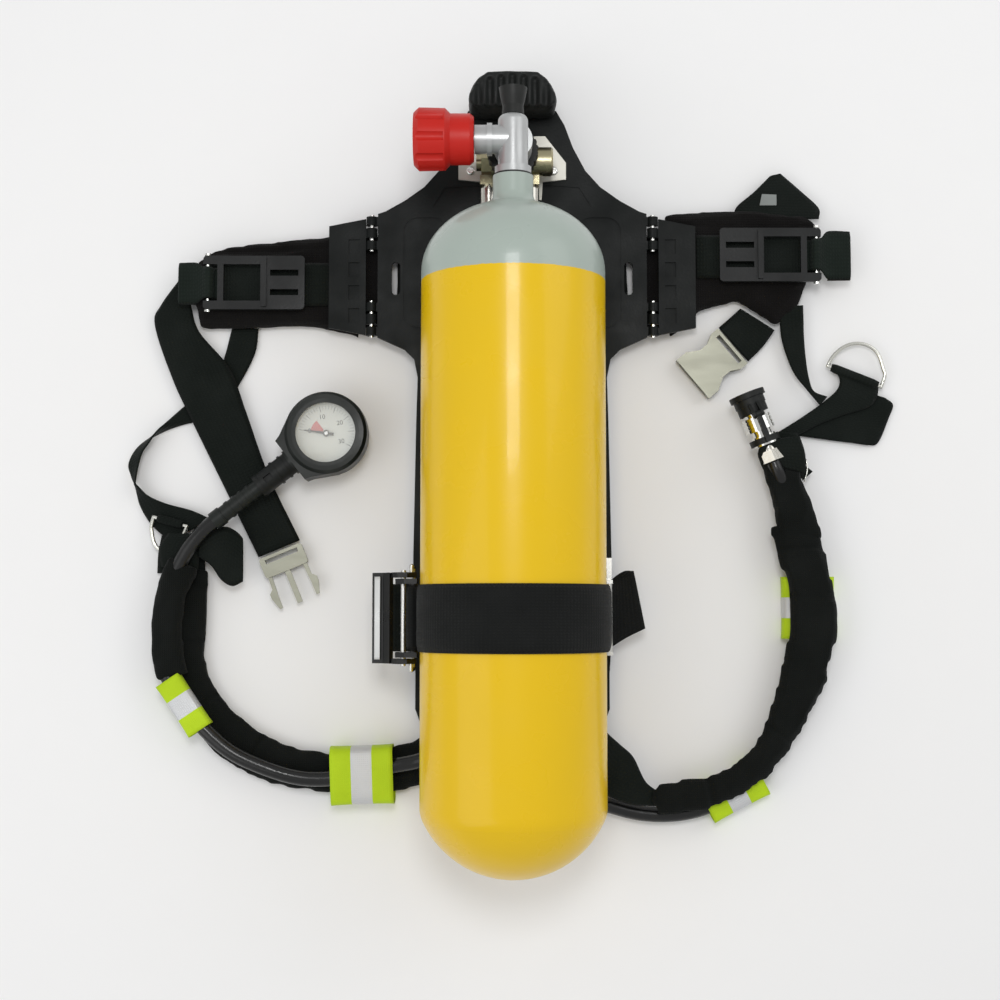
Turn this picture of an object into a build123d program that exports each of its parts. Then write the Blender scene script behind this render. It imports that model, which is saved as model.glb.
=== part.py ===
"""Air pack: a steel breathing-air cylinder on a moulded backplate with a padded harness.

Millimetres, +Z up. The pack lies on its back: the rest plane is z = 0, the cylinder's axis runs along
Y at x = 0, its valve points to +Y, and the harness is spread out to both sides. The origin is on the
rest plane, at the face of the backplate's spine rib.
"""

import math
import os

from build123d import *

os.makedirs("parts", exist_ok=True)

# ---------------------------------------------------------------- driving dimensions
CYL_R = 70.0  # cylinder outside radius
CYL_WALL = 4.5
CYL_Z = 105.0  # height of the cylinder axis
CYL_LOW = -302.6  # lower end of the straight wall
CYL_HIGH = 102.0  # upper end of the straight wall
CROWN_R = 75.0  # radius of the domed base
SHOULDER_H = 55.0  # height of the elliptical shoulder
NECK_R = 15.5
NECK_TOP = 177.0
MOUTH_R = 9.0

VALVE_Y = 206.0  # the handwheel, the outlet and the reducer share this station
REDUCER_Z = 44.0
REDUCER_R = 14.0

PLATE_LOW = 14.0  # underside of the backplate's sheet
PLATE_HIGH = 18.0  # front of the backplate's sheet
SKIRT = 3.5  # thickness of the skirt behind the backplate's edge

HINGE_X = 115.0  # hip hinge axis
HINGE_Z = 16.0
PIN_R = 2.0
RUN = 0.06  # running clearance between a pin and its hole
KNUCKLE_R = 4.5

PAD_TOP = 13.6  # top of the wing pads
WEB = 2.5  # thickness of single webbing
STRAP_LOW = 1.8  # left shoulder pad, underside
STRAP_HIGH = 12.8  # left shoulder pad, top
HOSE_R = 6.0
LEFT_HOSE_Z = 20.8  # the gauge hose lies on its pad
RIGHT_HOSE_Z = 8.0  # the supply hose lies under its pad
RIGHT_PAD_LOW = 16.2
RIGHT_PAD_HIGH = 27.2
STRAP_WIDTH = 40.0

BAND_LOW = -185.0  # cylinder band, in Y
BAND_HIGH = -135.0
BAND_IN = 70.6  # inner radius of the band
BAND_OUT = 72.8

GAUGE_AT = (-149.4, -12.3, 26.0)
GAUGE_TURN = 218.0  # direction of the gauge's neck in plan, degrees
COUPLER_AT = (205.0, -21.0, 26.0)
COUPLER_TURN = 111.4  # direction of the coupler's axis in plan, degrees

SIDES = (-1, 1)


# ---------------------------------------------------------------- helpers
def save(name, *solids):
    """Writes one node; several solids become one group."""
    shape = solids[0] if len(solids) == 1 else Compound(children=list(solids))
    export_step(shape, f"parts/{name}.step")


def prism(points, low, high):
    """A straight-sided solid over a closed plan outline."""
    face = make_face(Polyline(*points, close=True))
    return Pos(0, 0, low) * extrude(face, amount=high - low, dir=(0, 0, 1))


def block(x0, x1, y0, y1, z0, z1):
    """A box between opposite corners."""
    centre = Pos((x0 + x1) / 2, (y0 + y1) / 2, (z0 + z1) / 2)
    return centre * Box(abs(x1 - x0), abs(y1 - y0), abs(z1 - z0))


def rod_x(radius, x0, x1, y=0.0, z=0.0):
    """A round bar along X."""
    return Pos((x0 + x1) / 2, y, z) * Rot(0, 90, 0) * Cylinder(radius, abs(x1 - x0))


def rod_y(radius, y0, y1, x=0.0, z=0.0):
    """A round bar along Y."""
    return Pos(x, (y0 + y1) / 2, z) * Rot(90, 0, 0) * Cylinder(radius, abs(y1 - y0))


def rod_z(radius, z0, z1, x=0.0, y=0.0):
    """A round bar along Z."""
    return Pos(x, y, (z0 + z1) / 2) * Cylinder(radius, abs(z1 - z0))


def turned(points, axis):
    """A solid of revolution from a closed outline beside the axis."""
    return revolve(make_face(Polyline(*points, close=True)), axis=axis)


def hose(points, radius, inner=0.0):
    """A round tube swept along a smooth 3-D curve."""
    path = Spline(*points)
    section = Circle(radius) - Circle(inner) if inner else Circle(radius)
    return sweep(Plane(origin=path @ 0, z_dir=path % 0) * section, path=path, is_frenet=True)


def strip(points, width, low, high):
    """A flat strip of even width along a smooth plan curve."""
    path = Spline(*[(x, y, 0) for x, y in points])
    left, right = [], []
    steps = len(points) + 3
    for step in range(steps + 1):
        here = path @ (step / steps)
        ahead = path % (step / steps)
        side = Vector(-ahead.Y, ahead.X, 0) * (width / 2)
        left.append(here + side)
        right.append(here - side)
    right.reverse()
    edge = Spline(*left) + Line(left[-1], right[0]) + Spline(*right) + Line(right[-1], left[0])
    face = make_face(edge)
    return Pos(0, 0, low) * extrude(face, amount=high - low, dir=(0, 0, 1))


def mirrored(points, side):
    """Plan points given for the right side, moved to the wanted side."""
    return [(side * x, y) for x, y in points]


# ---------------------------------------------------------------- cylinder and valve
def cylinder_profile(radius, crown, crown_y, shoulder, low, high):
    """Half of the cylinder's lengthwise section, without the neck."""
    dome = Pos(0, high) * Ellipse(radius, shoulder)
    wall = Pos(0, (low + high) / 2) * Rectangle(2 * radius, high - low)
    base_clip = Pos(0, low - radius / 2 + 1) * Rectangle(2 * radius, radius)
    base = (Pos(0, crown_y) * Circle(crown)) & base_clip
    return dome + wall + base


def cylinder_shell():
    crown_y = CYL_LOW + 24.6
    outer = cylinder_profile(CYL_R, CROWN_R, crown_y, SHOULDER_H, CYL_LOW, CYL_HIGH)
    outer += Pos(0, (NECK_TOP + 130) / 2) * Rectangle(2 * NECK_R, NECK_TOP - 130)
    neck_roots = outer.vertices().filter_by(lambda v: 150 < v.Y < 160)
    outer = fillet(neck_roots, radius=9.0)
    dome_edge = outer.vertices().filter_by(lambda v: abs(v.Y - CYL_LOW) < 6)
    outer = fillet(dome_edge, radius=22.0)
    inner_r = CYL_R - CYL_WALL
    inner = cylinder_profile(
        inner_r, CROWN_R - CYL_WALL - 2, crown_y, SHOULDER_H - 6, CYL_LOW, CYL_HIGH
    )
    inner += Pos(0, (NECK_TOP + 132) / 2) * Rectangle(2 * MOUTH_R, NECK_TOP - 130)
    half = Pos(250, 0) * Rectangle(500, 1000)
    shell = revolve((outer - inner) & half, axis=Axis.Y)
    return Pos(0, 0, CYL_Z) * shell


def neck_o_ring():
    ring = rod_y(14.5, NECK_TOP, NECK_TOP + 1.6, z=CYL_Z) - rod_y(9.5, 170, 185, z=CYL_Z)
    return ring


ARM_END = -29.5  # outer face of the valve's side arm
OUTLET_LOW = 80.0  # face of the valve outlet, below the valve
OUTLET_R = 11.5


def valve_body():
    stem = rod_y(MOUTH_R - 0.05, 150, 180, z=CYL_Z)
    flange = rod_y(14, NECK_TOP + 1.6, 184, z=CYL_Z)
    trunk = rod_y(11.5, 183, 225, z=CYL_Z)
    trunk = fillet(trunk.edges().sort_by(Axis.Y)[-1], radius=5)
    arm = rod_x(11, ARM_END, 0, VALVE_Y, CYL_Z)
    collar = rod_x(12.5, -20, -16, VALVE_Y, CYL_Z)
    boss = rod_z(15, OUTLET_LOW, CYL_Z, 0, VALVE_Y)
    body = stem + flange + trunk + arm + collar + boss
    body -= rod_z(OUTLET_R, OUTLET_LOW - 1, 92, 0, VALVE_Y)
    body -= rod_z(2.5, 90, CYL_Z, 0, VALVE_Y)
    body -= rod_y(2.5, 149, VALVE_Y, z=CYL_Z)
    body -= rod_x(2.5, -12, 0, VALVE_Y, CYL_Z)
    body -= rod_x(6, ARM_END - 1, -10, VALVE_Y, CYL_Z)
    return body


def valve_stem():
    shaft = rod_x(6 - RUN, -46, -27, VALVE_Y, CYL_Z)
    tang = block(-27.5, -20, VALVE_Y - 3, VALVE_Y + 3, CYL_Z - 1.5, CYL_Z + 1.5)
    return shaft + tang


def valve_plug():
    plug = rod_x(6 - RUN, -23, -10.3, VALVE_Y, CYL_Z)
    slot = block(-24, -15, VALVE_Y - 3.2, VALVE_Y + 3.2, CYL_Z - 1.6, CYL_Z + 1.6)
    return plug - slot


def valve_handwheel():
    outline = [
        (-30, 0),
        (-30, 17),
        (-33, 19.5),
        (-48, 19.5),
        (-52, 23.5),
        (-72, 24),
        (-76, 20),
        (-76, 0),
    ]
    wheel = turned(outline, Axis.X)
    flutes = 9
    for index in range(flutes):
        angle = 360 / flutes * index + 20
        cutter = Rot(angle, 0, 0) * rod_x(4.2, -78, -53, 26, 0)
        wheel -= cutter
    wheel -= rod_x(11.2, -32, -29, 0, 0)
    wheel -= rod_x(6 - RUN, -46, -29, 0, 0)
    wheel = Pos(0, VALVE_Y, CYL_Z) * wheel
    return wheel


def valve_end_cap():
    outline = [
        (0, 225), (8.5, 225), (8.2, 232), (10, 240), (11, 246), (8.5, 246), (7.5, 240), (6, 231), (0, 231),
    ]
    return Pos(0, 0, CYL_Z) * turned(outline, Axis.Y)


# ---------------------------------------------------------------- reducer
GAUGE_PORT_X = -19.0
SUPPLY_PORT_X = 14.5
PORT_Z = 40.0
PORT_BORE = 2.5
MANIFOLD_LOW = 187.0  # the face the two hose fittings screw into
FERRULE_END = 171.0


def reducer_body():
    body = rod_x(REDUCER_R, -17, 16, VALVE_Y, REDUCER_Z)
    body += block(-26, 21.5, MANIFOLD_LOW, 194.5, 33, 47)
    stem = rod_z(8, REDUCER_Z, 89, 0, VALVE_Y)
    body += stem
    body -= rod_x(9, -10, 17, VALVE_Y, REDUCER_Z)
    body -= rod_z(2.5, REDUCER_Z, 90, 0, VALVE_Y)
    for x in (GAUGE_PORT_X, SUPPLY_PORT_X):
        body -= rod_y(PORT_BORE, MANIFOLD_LOW - 1, 192.5, x, PORT_Z)
    return body


def reducer_cap():
    cap = rod_x(11.5, 16, 32.5, VALVE_Y, REDUCER_Z)
    cap = chamfer(cap.edges().sort_by(Axis.X)[-1], length=1.5)
    cap += rod_x(8.9, 13.5, 17, VALVE_Y, REDUCER_Z)
    return cap


def reducer_piston():
    head = rod_x(9 - RUN, -6, -1, VALVE_Y, REDUCER_Z)
    nose = rod_x(3, -8, -6, VALVE_Y, REDUCER_Z)
    return head + nose


def reducer_spring():
    coil = Helix(pitch=3.1, height=12, radius=6.2)
    wire = sweep(Plane(origin=coil @ 0, z_dir=coil % 0) * Circle(0.75), path=coil)
    return Pos(-0.1, VALVE_Y, REDUCER_Z) * Rot(0, 90, 0) * wire


def relief_valve():
    hexagon = extrude(RegularPolygon(radius=11, side_count=6), amount=8)
    nut = Pos(-17, VALVE_Y, REDUCER_Z) * Rot(0, -90, 0) * hexagon
    return nut + rod_x(7.5, -29, -24, VALVE_Y, REDUCER_Z)


def reducer_handwheel():
    wheel = rod_z(20, 62, 77, 0, VALVE_Y)
    knurls = 24
    for index in range(knurls):
        angle = 2 * math.pi * index / knurls
        x = 20.6 * math.cos(angle)
        y = VALVE_Y + 20.6 * math.sin(angle)
        wheel -= rod_z(1.6, 61, 78, x, y)
    return wheel - rod_z(8 + RUN, 60, 80, 0, VALVE_Y)


def coupling_nose():
    nose = rod_z(13.5, 77, 79.6, 0, VALVE_Y) + rod_z(OUTLET_R - RUN, 79, 87, 0, VALVE_Y)
    return nose - rod_z(8 + RUN, 70, 90, 0, VALVE_Y)


BRACKET_HIGH = PLATE_HIGH + 2.5
SCREW_SPOTS = [(-20, 222), (20, 222), (-34, 205), (34, 205)]


def reducer_bracket():
    outline = [(-27, 234), (27, 234), (44, 212), (44, 198), (25, 196), (24, 181), (15, 181), (14, 196)]
    outline += mirrored(reversed(outline), -1)[:6]
    plate = prism(outline, PLATE_HIGH, BRACKET_HIGH)
    for side in SIDES:
        cheek = block(side * 11.5, side * 15, VALVE_Y - 11, VALVE_Y + 11, BRACKET_HIGH - 1, REDUCER_Z)
        plate += cheek
    plate -= rod_x(REDUCER_R + 0.02, -30, 30, VALVE_Y, REDUCER_Z)
    for x, y in SCREW_SPOTS:
        plate -= rod_z(2, 10, 30, x, y)
    return plate


def bracket_screws():
    screws = []
    for x, y in SCREW_SPOTS:
        head = rod_z(3.6, BRACKET_HIGH, BRACKET_HIGH + 2.4, x, y)
        head = fillet(head.edges().sort_by(Axis.Z)[-1], radius=1.6)
        slot = block(x - 4, x + 4, y - 0.5, y + 0.5, BRACKET_HIGH + 1.4, BRACKET_HIGH + 4)
        screws.append(head + rod_z(1.95, PLATE_LOW, BRACKET_HIGH, x, y) - slot)
    return screws


def hose_fittings():
    """A ferrule on a thin stem for each of the two hoses."""
    fittings = []
    for x in (GAUGE_PORT_X, SUPPLY_PORT_X):
        ferrule = rod_y(7, FERRULE_END, 184.5, x, PORT_Z) + rod_y(4.5, 184, MANIFOLD_LOW, x, PORT_Z)
        fittings.append(ferrule - rod_y(PORT_BORE, 160, 200, x, PORT_Z))
    return fittings


# ---------------------------------------------------------------- backplate and what is fixed to it
PLATE_HALF = [
    (0, 262), (36, 256), (43, 244), (50, 225), (60, 206), (72, 192.5), (88, 181), (104, 172),
    (110, 170), (110, 68), (88, 58), (80, 50), (77, 35), (78, 0), (80, -110), (80, -175),
    (78, -205), (78, -233), (74, -244), (64, -250),
]
COLUMN_HALF = [
    (0, 50), (79, 46), (76, 35), (77, 0), (79, -110), (79, -175), (77, -205), (77, -232), (73, -243),
    (64, -249),
]
STATIONS = (83.0, 154.0)  # the two hinge stations along Y
SLOT_X = 95.0


def whole(half):
    """A symmetric outline from its right half."""
    inner = [point for point in reversed(half) if point[0] > 0]
    return half + mirrored(inner, -1)


def hinge_knuckles(side, offsets, length, hole):
    """Barrels of one hinge leaf with the web that ties them to the sheet."""
    leaf = []
    for station in STATIONS:
        for offset in offsets:
            y0 = station + offset - length / 2
            leaf.append(rod_y(KNUCKLE_R, y0, y0 + length, side * HINGE_X, HINGE_Z))
    bore = rod_y(hole, 60, 180, side * HINGE_X, HINGE_Z)
    return leaf, bore


def backplate():
    plate = prism(whole(PLATE_HALF), PLATE_LOW, PLATE_HIGH)
    column = whole(COLUMN_HALF)
    skirt = prism(column, 0, PLATE_LOW)
    skirt -= prism([(x * 0.95, y * 0.97) for x, y in column], -1, PLATE_LOW)
    plate += skirt
    plate += block(-3, 3, -240, 47, 0, PLATE_LOW)
    for y in (-190, -130, -60, 10):
        plate += block(-74, 74, y - 1.5, y + 1.5, 4, PLATE_LOW)
    for side in SIDES:
        knuckles, bore = hinge_knuckles(side, (-10, 10), 7, PIN_R)
        for knuckle in knuckles:
            plate += knuckle
        for station in STATIONS:
            for offset in (-10, 10):
                y = station + offset
                plate += block(side * 106, side * HINGE_X, y - 3.5, y + 3.5, PLATE_LOW, PLATE_HIGH)
        plate -= bore
        slot = block(side * (SLOT_X - 3.5), side * (SLOT_X + 3.5), 103, 130, 10, 20)
        plate -= fillet(slot.edges() | Axis.Z, radius=3.4)
        groove = block(side * 53, side * 89, 74, 167, PLATE_HIGH - 0.8, PLATE_HIGH + 1)
        groove = fillet(groove.edges() | Axis.Z, radius=12)
        island = block(side * 55.2, side * 86.8, 76.2, 164.8, PLATE_HIGH - 2, PLATE_HIGH + 2)
        plate -= groove - fillet(island.edges() | Axis.Z, radius=10)
    chevron = [(65, 176), (62, 176), (53, 189), (26, 191.5)]
    chevron += mirrored(reversed(chevron), -1)
    chevron += [(-55, 192), (-26, 194), (26, 194), (55, 192)]
    plate -= prism(chevron, PLATE_HIGH - 0.8, PLATE_HIGH + 1)
    for x, y in SCREW_SPOTS:
        plate -= rod_z(2, 10, 20, x, y)
    return plate


BUMPER_HIGH = 60.0
PLEATS = (-27, -18, -9, 0, 9, 18, 27)  # grooves across the top of the bumper


def end_bumper():
    head = [(12, 279), (27, 274), (35, 264), (37, 250), (33, 246.5)]
    body = prism(head + mirrored(reversed(head), -1), PLATE_HIGH, BUMPER_HIGH)
    foot = [(0, 262.5), (34, 256.5), (30, 268), (12, 275)]
    body += prism(foot + mirrored(reversed(foot[1:]), -1), 4, PLATE_HIGH)
    for x in PLEATS:
        reach = 268 - abs(x) * 0.25
        body -= block(x - 1.2, x + 1.2, 251, reach, BUMPER_HIGH - 1.4, BUMPER_HIGH + 1)
    return body


def lumbar_pad():
    pad = block(-100, 100, 72, 166, 0, PAD_TOP)
    return fillet(pad.edges() | Axis.Z, radius=18)


def cradle_pads():
    pads = []
    for y in (-160, 62):
        pad = block(-24, 24, y - 24, y + 24, PLATE_HIGH, 44)
        pads.append(pad - rod_y(CYL_R + 0.05, -400, 200, 0, CYL_Z))
    return pads


def hinge_pins():
    pins = []
    for side in SIDES:
        for station in STATIONS:
            pins.append(rod_y(PIN_R, station - 15, station + 15, side * HINGE_X, HINGE_Z))
    return pins


# ---------------------------------------------------------------- cylinder band and its latch
LEVER_AT = (-84.0, 80.0)  # x and z of the lever's pivot
BAIL_AT = (-78.0, 78.0)  # x and z of the bail's pivot in the lever
BAR_AT = (-76.0, 88.0)  # x and z of the bar the band loops round


def slab_y(points, y0, y1):
    """A solid over a closed outline in x and z, between two stations along Y."""
    face = make_face(Polyline(*[(x, 0, z) for x, z in points], close=True))
    return Pos(0, y0, 0) * extrude(face, amount=y1 - y0, dir=(0, 1, 0))


def cylinder_band():
    wide = (BAND_LOW, BAND_HIGH)
    arch = rod_y(BAND_OUT, *wide, 0, CYL_Z) - rod_y(BAND_IN, *wide, 0, CYL_Z)
    arch -= block(-100, 100, -300, 0, -50, CYL_Z)
    tail = [
        (BAND_IN, CYL_Z), (BAND_OUT, CYL_Z), (BAND_OUT, 24.4), (82, 24.4),
        (104, 29), (104, 26.8), (83, 22.2), (BAND_IN, 22.2),
    ]
    right = slab_y(tail, *wide)
    left = block(-BAND_OUT, -BAND_IN, *wide, BAR_AT[1], CYL_Z)
    loop = rod_y(5.4, *wide, *BAR_AT) - rod_y(3.2, -200, -120, *BAR_AT)
    return arch + right + (left - rod_y(3.2, -200, -120, *BAR_AT)) + loop


def band_anchor():
    foot = block(56, 80, -190, -112, PLATE_HIGH, PLATE_HIGH + 2)
    ears = [block(75, 80, y, y + 3, PLATE_HIGH, 31) for y in (-190, -133)]
    bar = rod_y(2.4, -190, -130, 77.5, 27.6)
    return foot + ears[0] + ears[1] + bar


def band_buckle_frame():
    flange = [(-90, 73), (-90, 86), (-83, 92), (-73.2, 92), (-73.2, 73)]
    frame = slab_y(flange, -190, -186) + slab_y(flange, -134, -130)
    frame += rod_y(3, -190, -130, *BAR_AT)
    frame += block(-76.5, -74, -190, -130, 72, 80)
    return frame - rod_y(PIN_R, -200, -120, *LEVER_AT)


def band_buckle_pin():
    return rod_y(PIN_R, -196.5, -123.5, *LEVER_AT)


def polar(origin, angle, distance):
    """A point in x and z at an angle, in degrees, above +x."""
    turn = math.radians(angle)
    return (origin[0] + distance * math.cos(turn), origin[1] + distance * math.sin(turn))


def band_lever():
    out = 219.0
    inner = polar(LEVER_AT, out, 12.5)
    outer = polar(LEVER_AT, out, 30)
    up = polar((0, 0), out - 90, 1.9)
    mid = polar(LEVER_AT, out, 21)
    plate = [
        (inner[0] - up[0], inner[1] - up[1]), (mid[0] - 1.6 * up[0], mid[1] - 1.6 * up[1]),
        (outer[0] - up[0], outer[1] - up[1]), (outer[0] + 1.6 * up[0], outer[1] + 1.6 * up[1]),
        (mid[0] + 0.3 * up[0], mid[1] + 0.3 * up[1]), (inner[0] + 1.2 * up[0], inner[1] + 1.2 * up[1]),
    ]
    lever = slab_y(plate, -195, -125)
    ear = [
        polar(LEVER_AT, out, 13.5), polar(LEVER_AT, 180, 8), polar(LEVER_AT, 130, 6.5),
        polar(LEVER_AT, 60, 6), polar(BAIL_AT, 10, 4), polar(BAIL_AT, -60, 4), polar(LEVER_AT, 265, 6.5),
    ]
    lever += slab_y(ear, -195, -191) + slab_y(ear, -129, -125)
    lever -= rod_y(PIN_R + RUN, -200, -120, *LEVER_AT)
    lever -= rod_y(1.6 + RUN, -200, -120, *BAIL_AT)
    return lever


def band_bail():
    x, z = BAIL_AT
    bail = rod_y(1.6, -200, -120, x, 48)
    for y, inner in ((-200, -191.5), (-120, -128.5)):
        bail += rod_z(1.6, 48, z, x, y)
        bail += rod_y(1.6, y, inner, x, z)
        bail += Pos(x, y, z) * Sphere(1.6)
        bail += Pos(x, y, 48) * Sphere(1.6)
    return bail


def band_hook():
    outline = [
        (-56, 18), (-56, 20), (-70, 20), (-70, 52.4), (-83, 52.4),
        (-83, 47.6), (-81.2, 47.6), (-81.2, 50.4), (-72, 50.4), (-72, 18),
    ]
    return slab_y(outline, -182, -138)


# ---------------------------------------------------------------- shoulder straps, hoses and sleeves
LEFT_STRAP = [
    (-52, -268), (-76, -281), (-121, -287), (-163, -282), (-197, -272), (-226, -254), (-248, -231),
    (-262, -206), (-269, -178), (-270, -146), (-269, -117),
]
RIGHT_STRAP = [
    (82, -288), (103, -302), (143, -306), (179, -293), (212, -265), (232, -226), (242, -186), (244, -146),
    (240, -113), (236, -86),
]


def left_shoulder_pad():
    return strip(LEFT_STRAP, STRAP_WIDTH, STRAP_LOW, STRAP_HIGH)


def right_shoulder_pad():
    return strip(RIGHT_STRAP, STRAP_WIDTH, RIGHT_PAD_LOW, RIGHT_PAD_HIGH)


def on_axis(at, turn, along):
    """A point at a distance along a part's own axis."""
    angle = math.radians(turn)
    return (at[0] + along * math.cos(angle), at[1] + along * math.sin(angle), at[2])


GAUGE_HOSE_END = on_axis(GAUGE_AT, GAUGE_TURN, 110)
GAUGE_HOSE_LEAD = on_axis(GAUGE_AT, GAUGE_TURN, 118)
COUPLER_HOSE_END = on_axis(COUPLER_AT, COUPLER_TURN, -16.2)
COUPLER_HOSE_LEAD = on_axis(COUPLER_AT, COUPLER_TURN, -25)
SHOULDER_RUN = [  # the gauge hose where it lies on the left pad, in plan
    (-96, -278), (-121, -284), (-146, -288), (-172, -287), (-199, -279), (-223, -268), (-247, -248),
    (-265, -227), (-277, -205), (-281, -178), (-279, -150),
]
SUPPLY_RUN = [  # the supply hose where it lies under the right pad, in plan
    (75, -310), (98, -316), (120, -318), (141, -316), (163, -309), (192, -290), (219, -258), (236, -215),
    (243, -170), (243, -130), (240, -102),
]
GAUGE_HOSE = [
    (GAUGE_PORT_X, 169.6, PORT_Z), (GAUGE_PORT_X, 164, PORT_Z), (-22, 150, 36.5), (-30, 122, 28),
    (-36, 80, 25.5), (-36, -60, 25.5), (-36, -225, 26), (-44, -250, 27), (-58, -265, 26.5),
    (-76, -274, LEFT_HOSE_Z + 2),
]
GAUGE_HOSE += [(x, y, LEFT_HOSE_Z) for x, y in SHOULDER_RUN]
GAUGE_HOSE += [(-270, -122, 21.3), (-257, -100, 24.3), GAUGE_HOSE_LEAD, GAUGE_HOSE_END]
SUPPLY_HOSE = [
    (SUPPLY_PORT_X, 169.6, PORT_Z), (SUPPLY_PORT_X, 164, PORT_Z), (18, 150, 36.5), (30, 122, 28),
    (36, 80, 25.5), (36, -60, 25.5), (36, -230, 26.5), (33, -262, 26.5), (37, -288, 20), (53, -303, 12),
]
SUPPLY_HOSE += [(x, y, RIGHT_HOSE_Z) for x, y in SUPPLY_RUN]
SUPPLY_HOSE += [(232, -74, 11), (220, -55, 20), COUPLER_HOSE_LEAD, COUPLER_HOSE_END]


def gauge_hose():
    return hose(GAUGE_HOSE, HOSE_R, 3)


def supply_hose():
    return hose(SUPPLY_HOSE, HOSE_R, 3)


def hose_wrap(points, first, last, inner, outer):
    """A fabric tube round part of a hose, between two of its guide points."""
    path = Spline(*points)
    start = path.param_at_point(points[first])
    end = path.param_at_point(points[last])
    piece = path.trim(start, end)
    section = Circle(outer) - Circle(inner)
    return sweep(Plane(origin=piece @ 0, z_dir=piece % 0) * section, path=piece, is_frenet=True)


def left_hose_cover():
    return hose_wrap(GAUGE_HOSE, 18, 21, HOSE_R + 0.4, HOSE_R + 1.6)


def right_hose_shroud():
    return hose_wrap(SUPPLY_HOSE, 21, 22, HOSE_R + 0.4, HOSE_R + 1.6)


def flat_sleeve(x, y, turn, length, width, low, high, wall=1.3):
    """A flattened fabric tube, open at both ends."""
    outer = block(-length / 2, length / 2, -width / 2, width / 2, low, high)
    outer = fillet(outer.edges() | Axis.X, radius=4)
    inner = block(-length, length, -width / 2 + wall, width / 2 - wall, low + wall, high - wall)
    return Pos(x, y, 0) * Rot(0, 0, turn) * (outer - inner)


def left_reflective_sleeves():
    wrap = hose_wrap(GAUGE_HOSE, 16, 18, HOSE_R + 0.4, HOSE_R + 1.6)
    band = flat_sleeve(-120, -285.4, 2, 50, 49, 0.2, LEFT_HOSE_Z + HOSE_R + 2)
    return [wrap, band]


def right_reflective_sleeves():
    return [
        flat_sleeve(176, -301, 30, 50, 50, 0, RIGHT_PAD_LOW - 0.2),
        flat_sleeve(242, -150, 90, 50, 44, 0, RIGHT_PAD_LOW - 0.2),
    ]


WEB_LOW = PLATE_HIGH + 0.2


def shoulder_anchor_webs():
    left_outline = [(-66, -232), (-34, -232), (-36, -258), (-46, -266), (-64, -253)]
    right_outline = [(64, -232), (44, -232), (44, -262), (64, -300), (88, -266), (76, -250)]
    left = prism(left_outline, WEB_LOW, WEB_LOW + 1.4)
    right = prism(right_outline, WEB_LOW, WEB_LOW + WEB)
    return [left - rod_z(4, 0, 40, -54, -242), right - rod_z(4, 0, 40, 66, -262)]


# ---------------------------------------------------------------- strap ends, loops and D-rings
RIGHT_RING = ((262.0, 45.0), (300.0, 30.0), 6.0)  # ends of the tab that holds the ring, and its height
LEFT_RING = ((-289.0, -79.0), (-268.0, -85.0), 9.0)
WIRE_R = 1.6


def ring_frame(ring):
    """Centre, unit direction of the bar and unit direction out of the tab."""
    (x0, y0), (x1, y1), z = ring
    length = math.hypot(x1 - x0, y1 - y0)
    along = ((x1 - x0) / length, (y1 - y0) / length)
    return ((x0 + x1) / 2, (y0 + y1) / 2, z), along, length


def d_ring(ring, outward, depth):
    """A wire D-ring: a straight bar and a bow, in one plane."""
    centre, along, length = ring_frame(ring)
    half = length / 2 + 3
    ends = Vector(-half, 0, 0), Vector(half, 0, 0)
    arch = []
    for angle in (150, 120, 90, 60, 30):
        turn = math.radians(angle)
        arch.append((half * math.cos(turn), depth * math.sin(turn), 0))
    bow = Spline(ends[0], *arch, ends[1], tangents=((0, 1, 0), (0, -1, 0)))
    wire = sweep(Plane(origin=bow @ 0, z_dir=bow % 0) * Circle(WIRE_R), path=bow)
    wire += rod_x(WIRE_R, -half, half)
    wire += Pos(-half, 0, 0) * Sphere(WIRE_R) + Pos(half, 0, 0) * Sphere(WIRE_R)
    turn = math.degrees(math.atan2(along[1], along[0]))
    flip = 0 if outward > 0 else 180
    return Pos(*centre) * Rot(0, 0, turn + flip) * wire


def ring_tunnel(ring, outer):
    """The folded tab round a ring's bar, and its bore."""
    centre, along, length = ring_frame(ring)
    turn = math.degrees(math.atan2(along[1], along[0]))
    place = Pos(*centre) * Rot(0, 0, turn)
    return place * rod_x(outer, -length / 2, length / 2), place * rod_x(WIRE_R + RUN, -40, 40)


def right_loop_webbing():
    outline = [
        (190, -31), (236, -7), (249, 11), (261, 42), (299, 27), (312, 18), (309, 2), (301, -18),
        (289, -19), (240, -20), (246, -46), (254, -76), (217, -74), (206, -52),
    ]
    tube, bore = ring_tunnel(RIGHT_RING, 4.2)
    return prism(outline, 0.8, 3.3) + tube - bore


def left_strap_end():
    upper = [
        (-313.5, -31), (-300, -32), (-291, -50), (-262, -72), (-244, -85), (-247, -93), (-283, -98),
        (-306, -53),
    ]
    tube, bore = ring_tunnel(LEFT_RING, 3.4)
    link = prism([(-283, -97), (-262, -94), (-250, -97), (-250, -115), (-289, -115)], 4.5, 7)
    return prism(upper, 4.5, 7) + tube + link - bore


def left_strap_tail():
    outline = [
        (-222, -86), (-219, -90), (-219, -130), (-225, -134), (-233, -132), (-243, -119), (-249, -100),
        (-243, -92),
    ]
    return prism(outline, 16, 16 + WEB)


# ---------------------------------------------------------------- hip wings
HIP_HIGH = 17.0  # top of the hip plates


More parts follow.
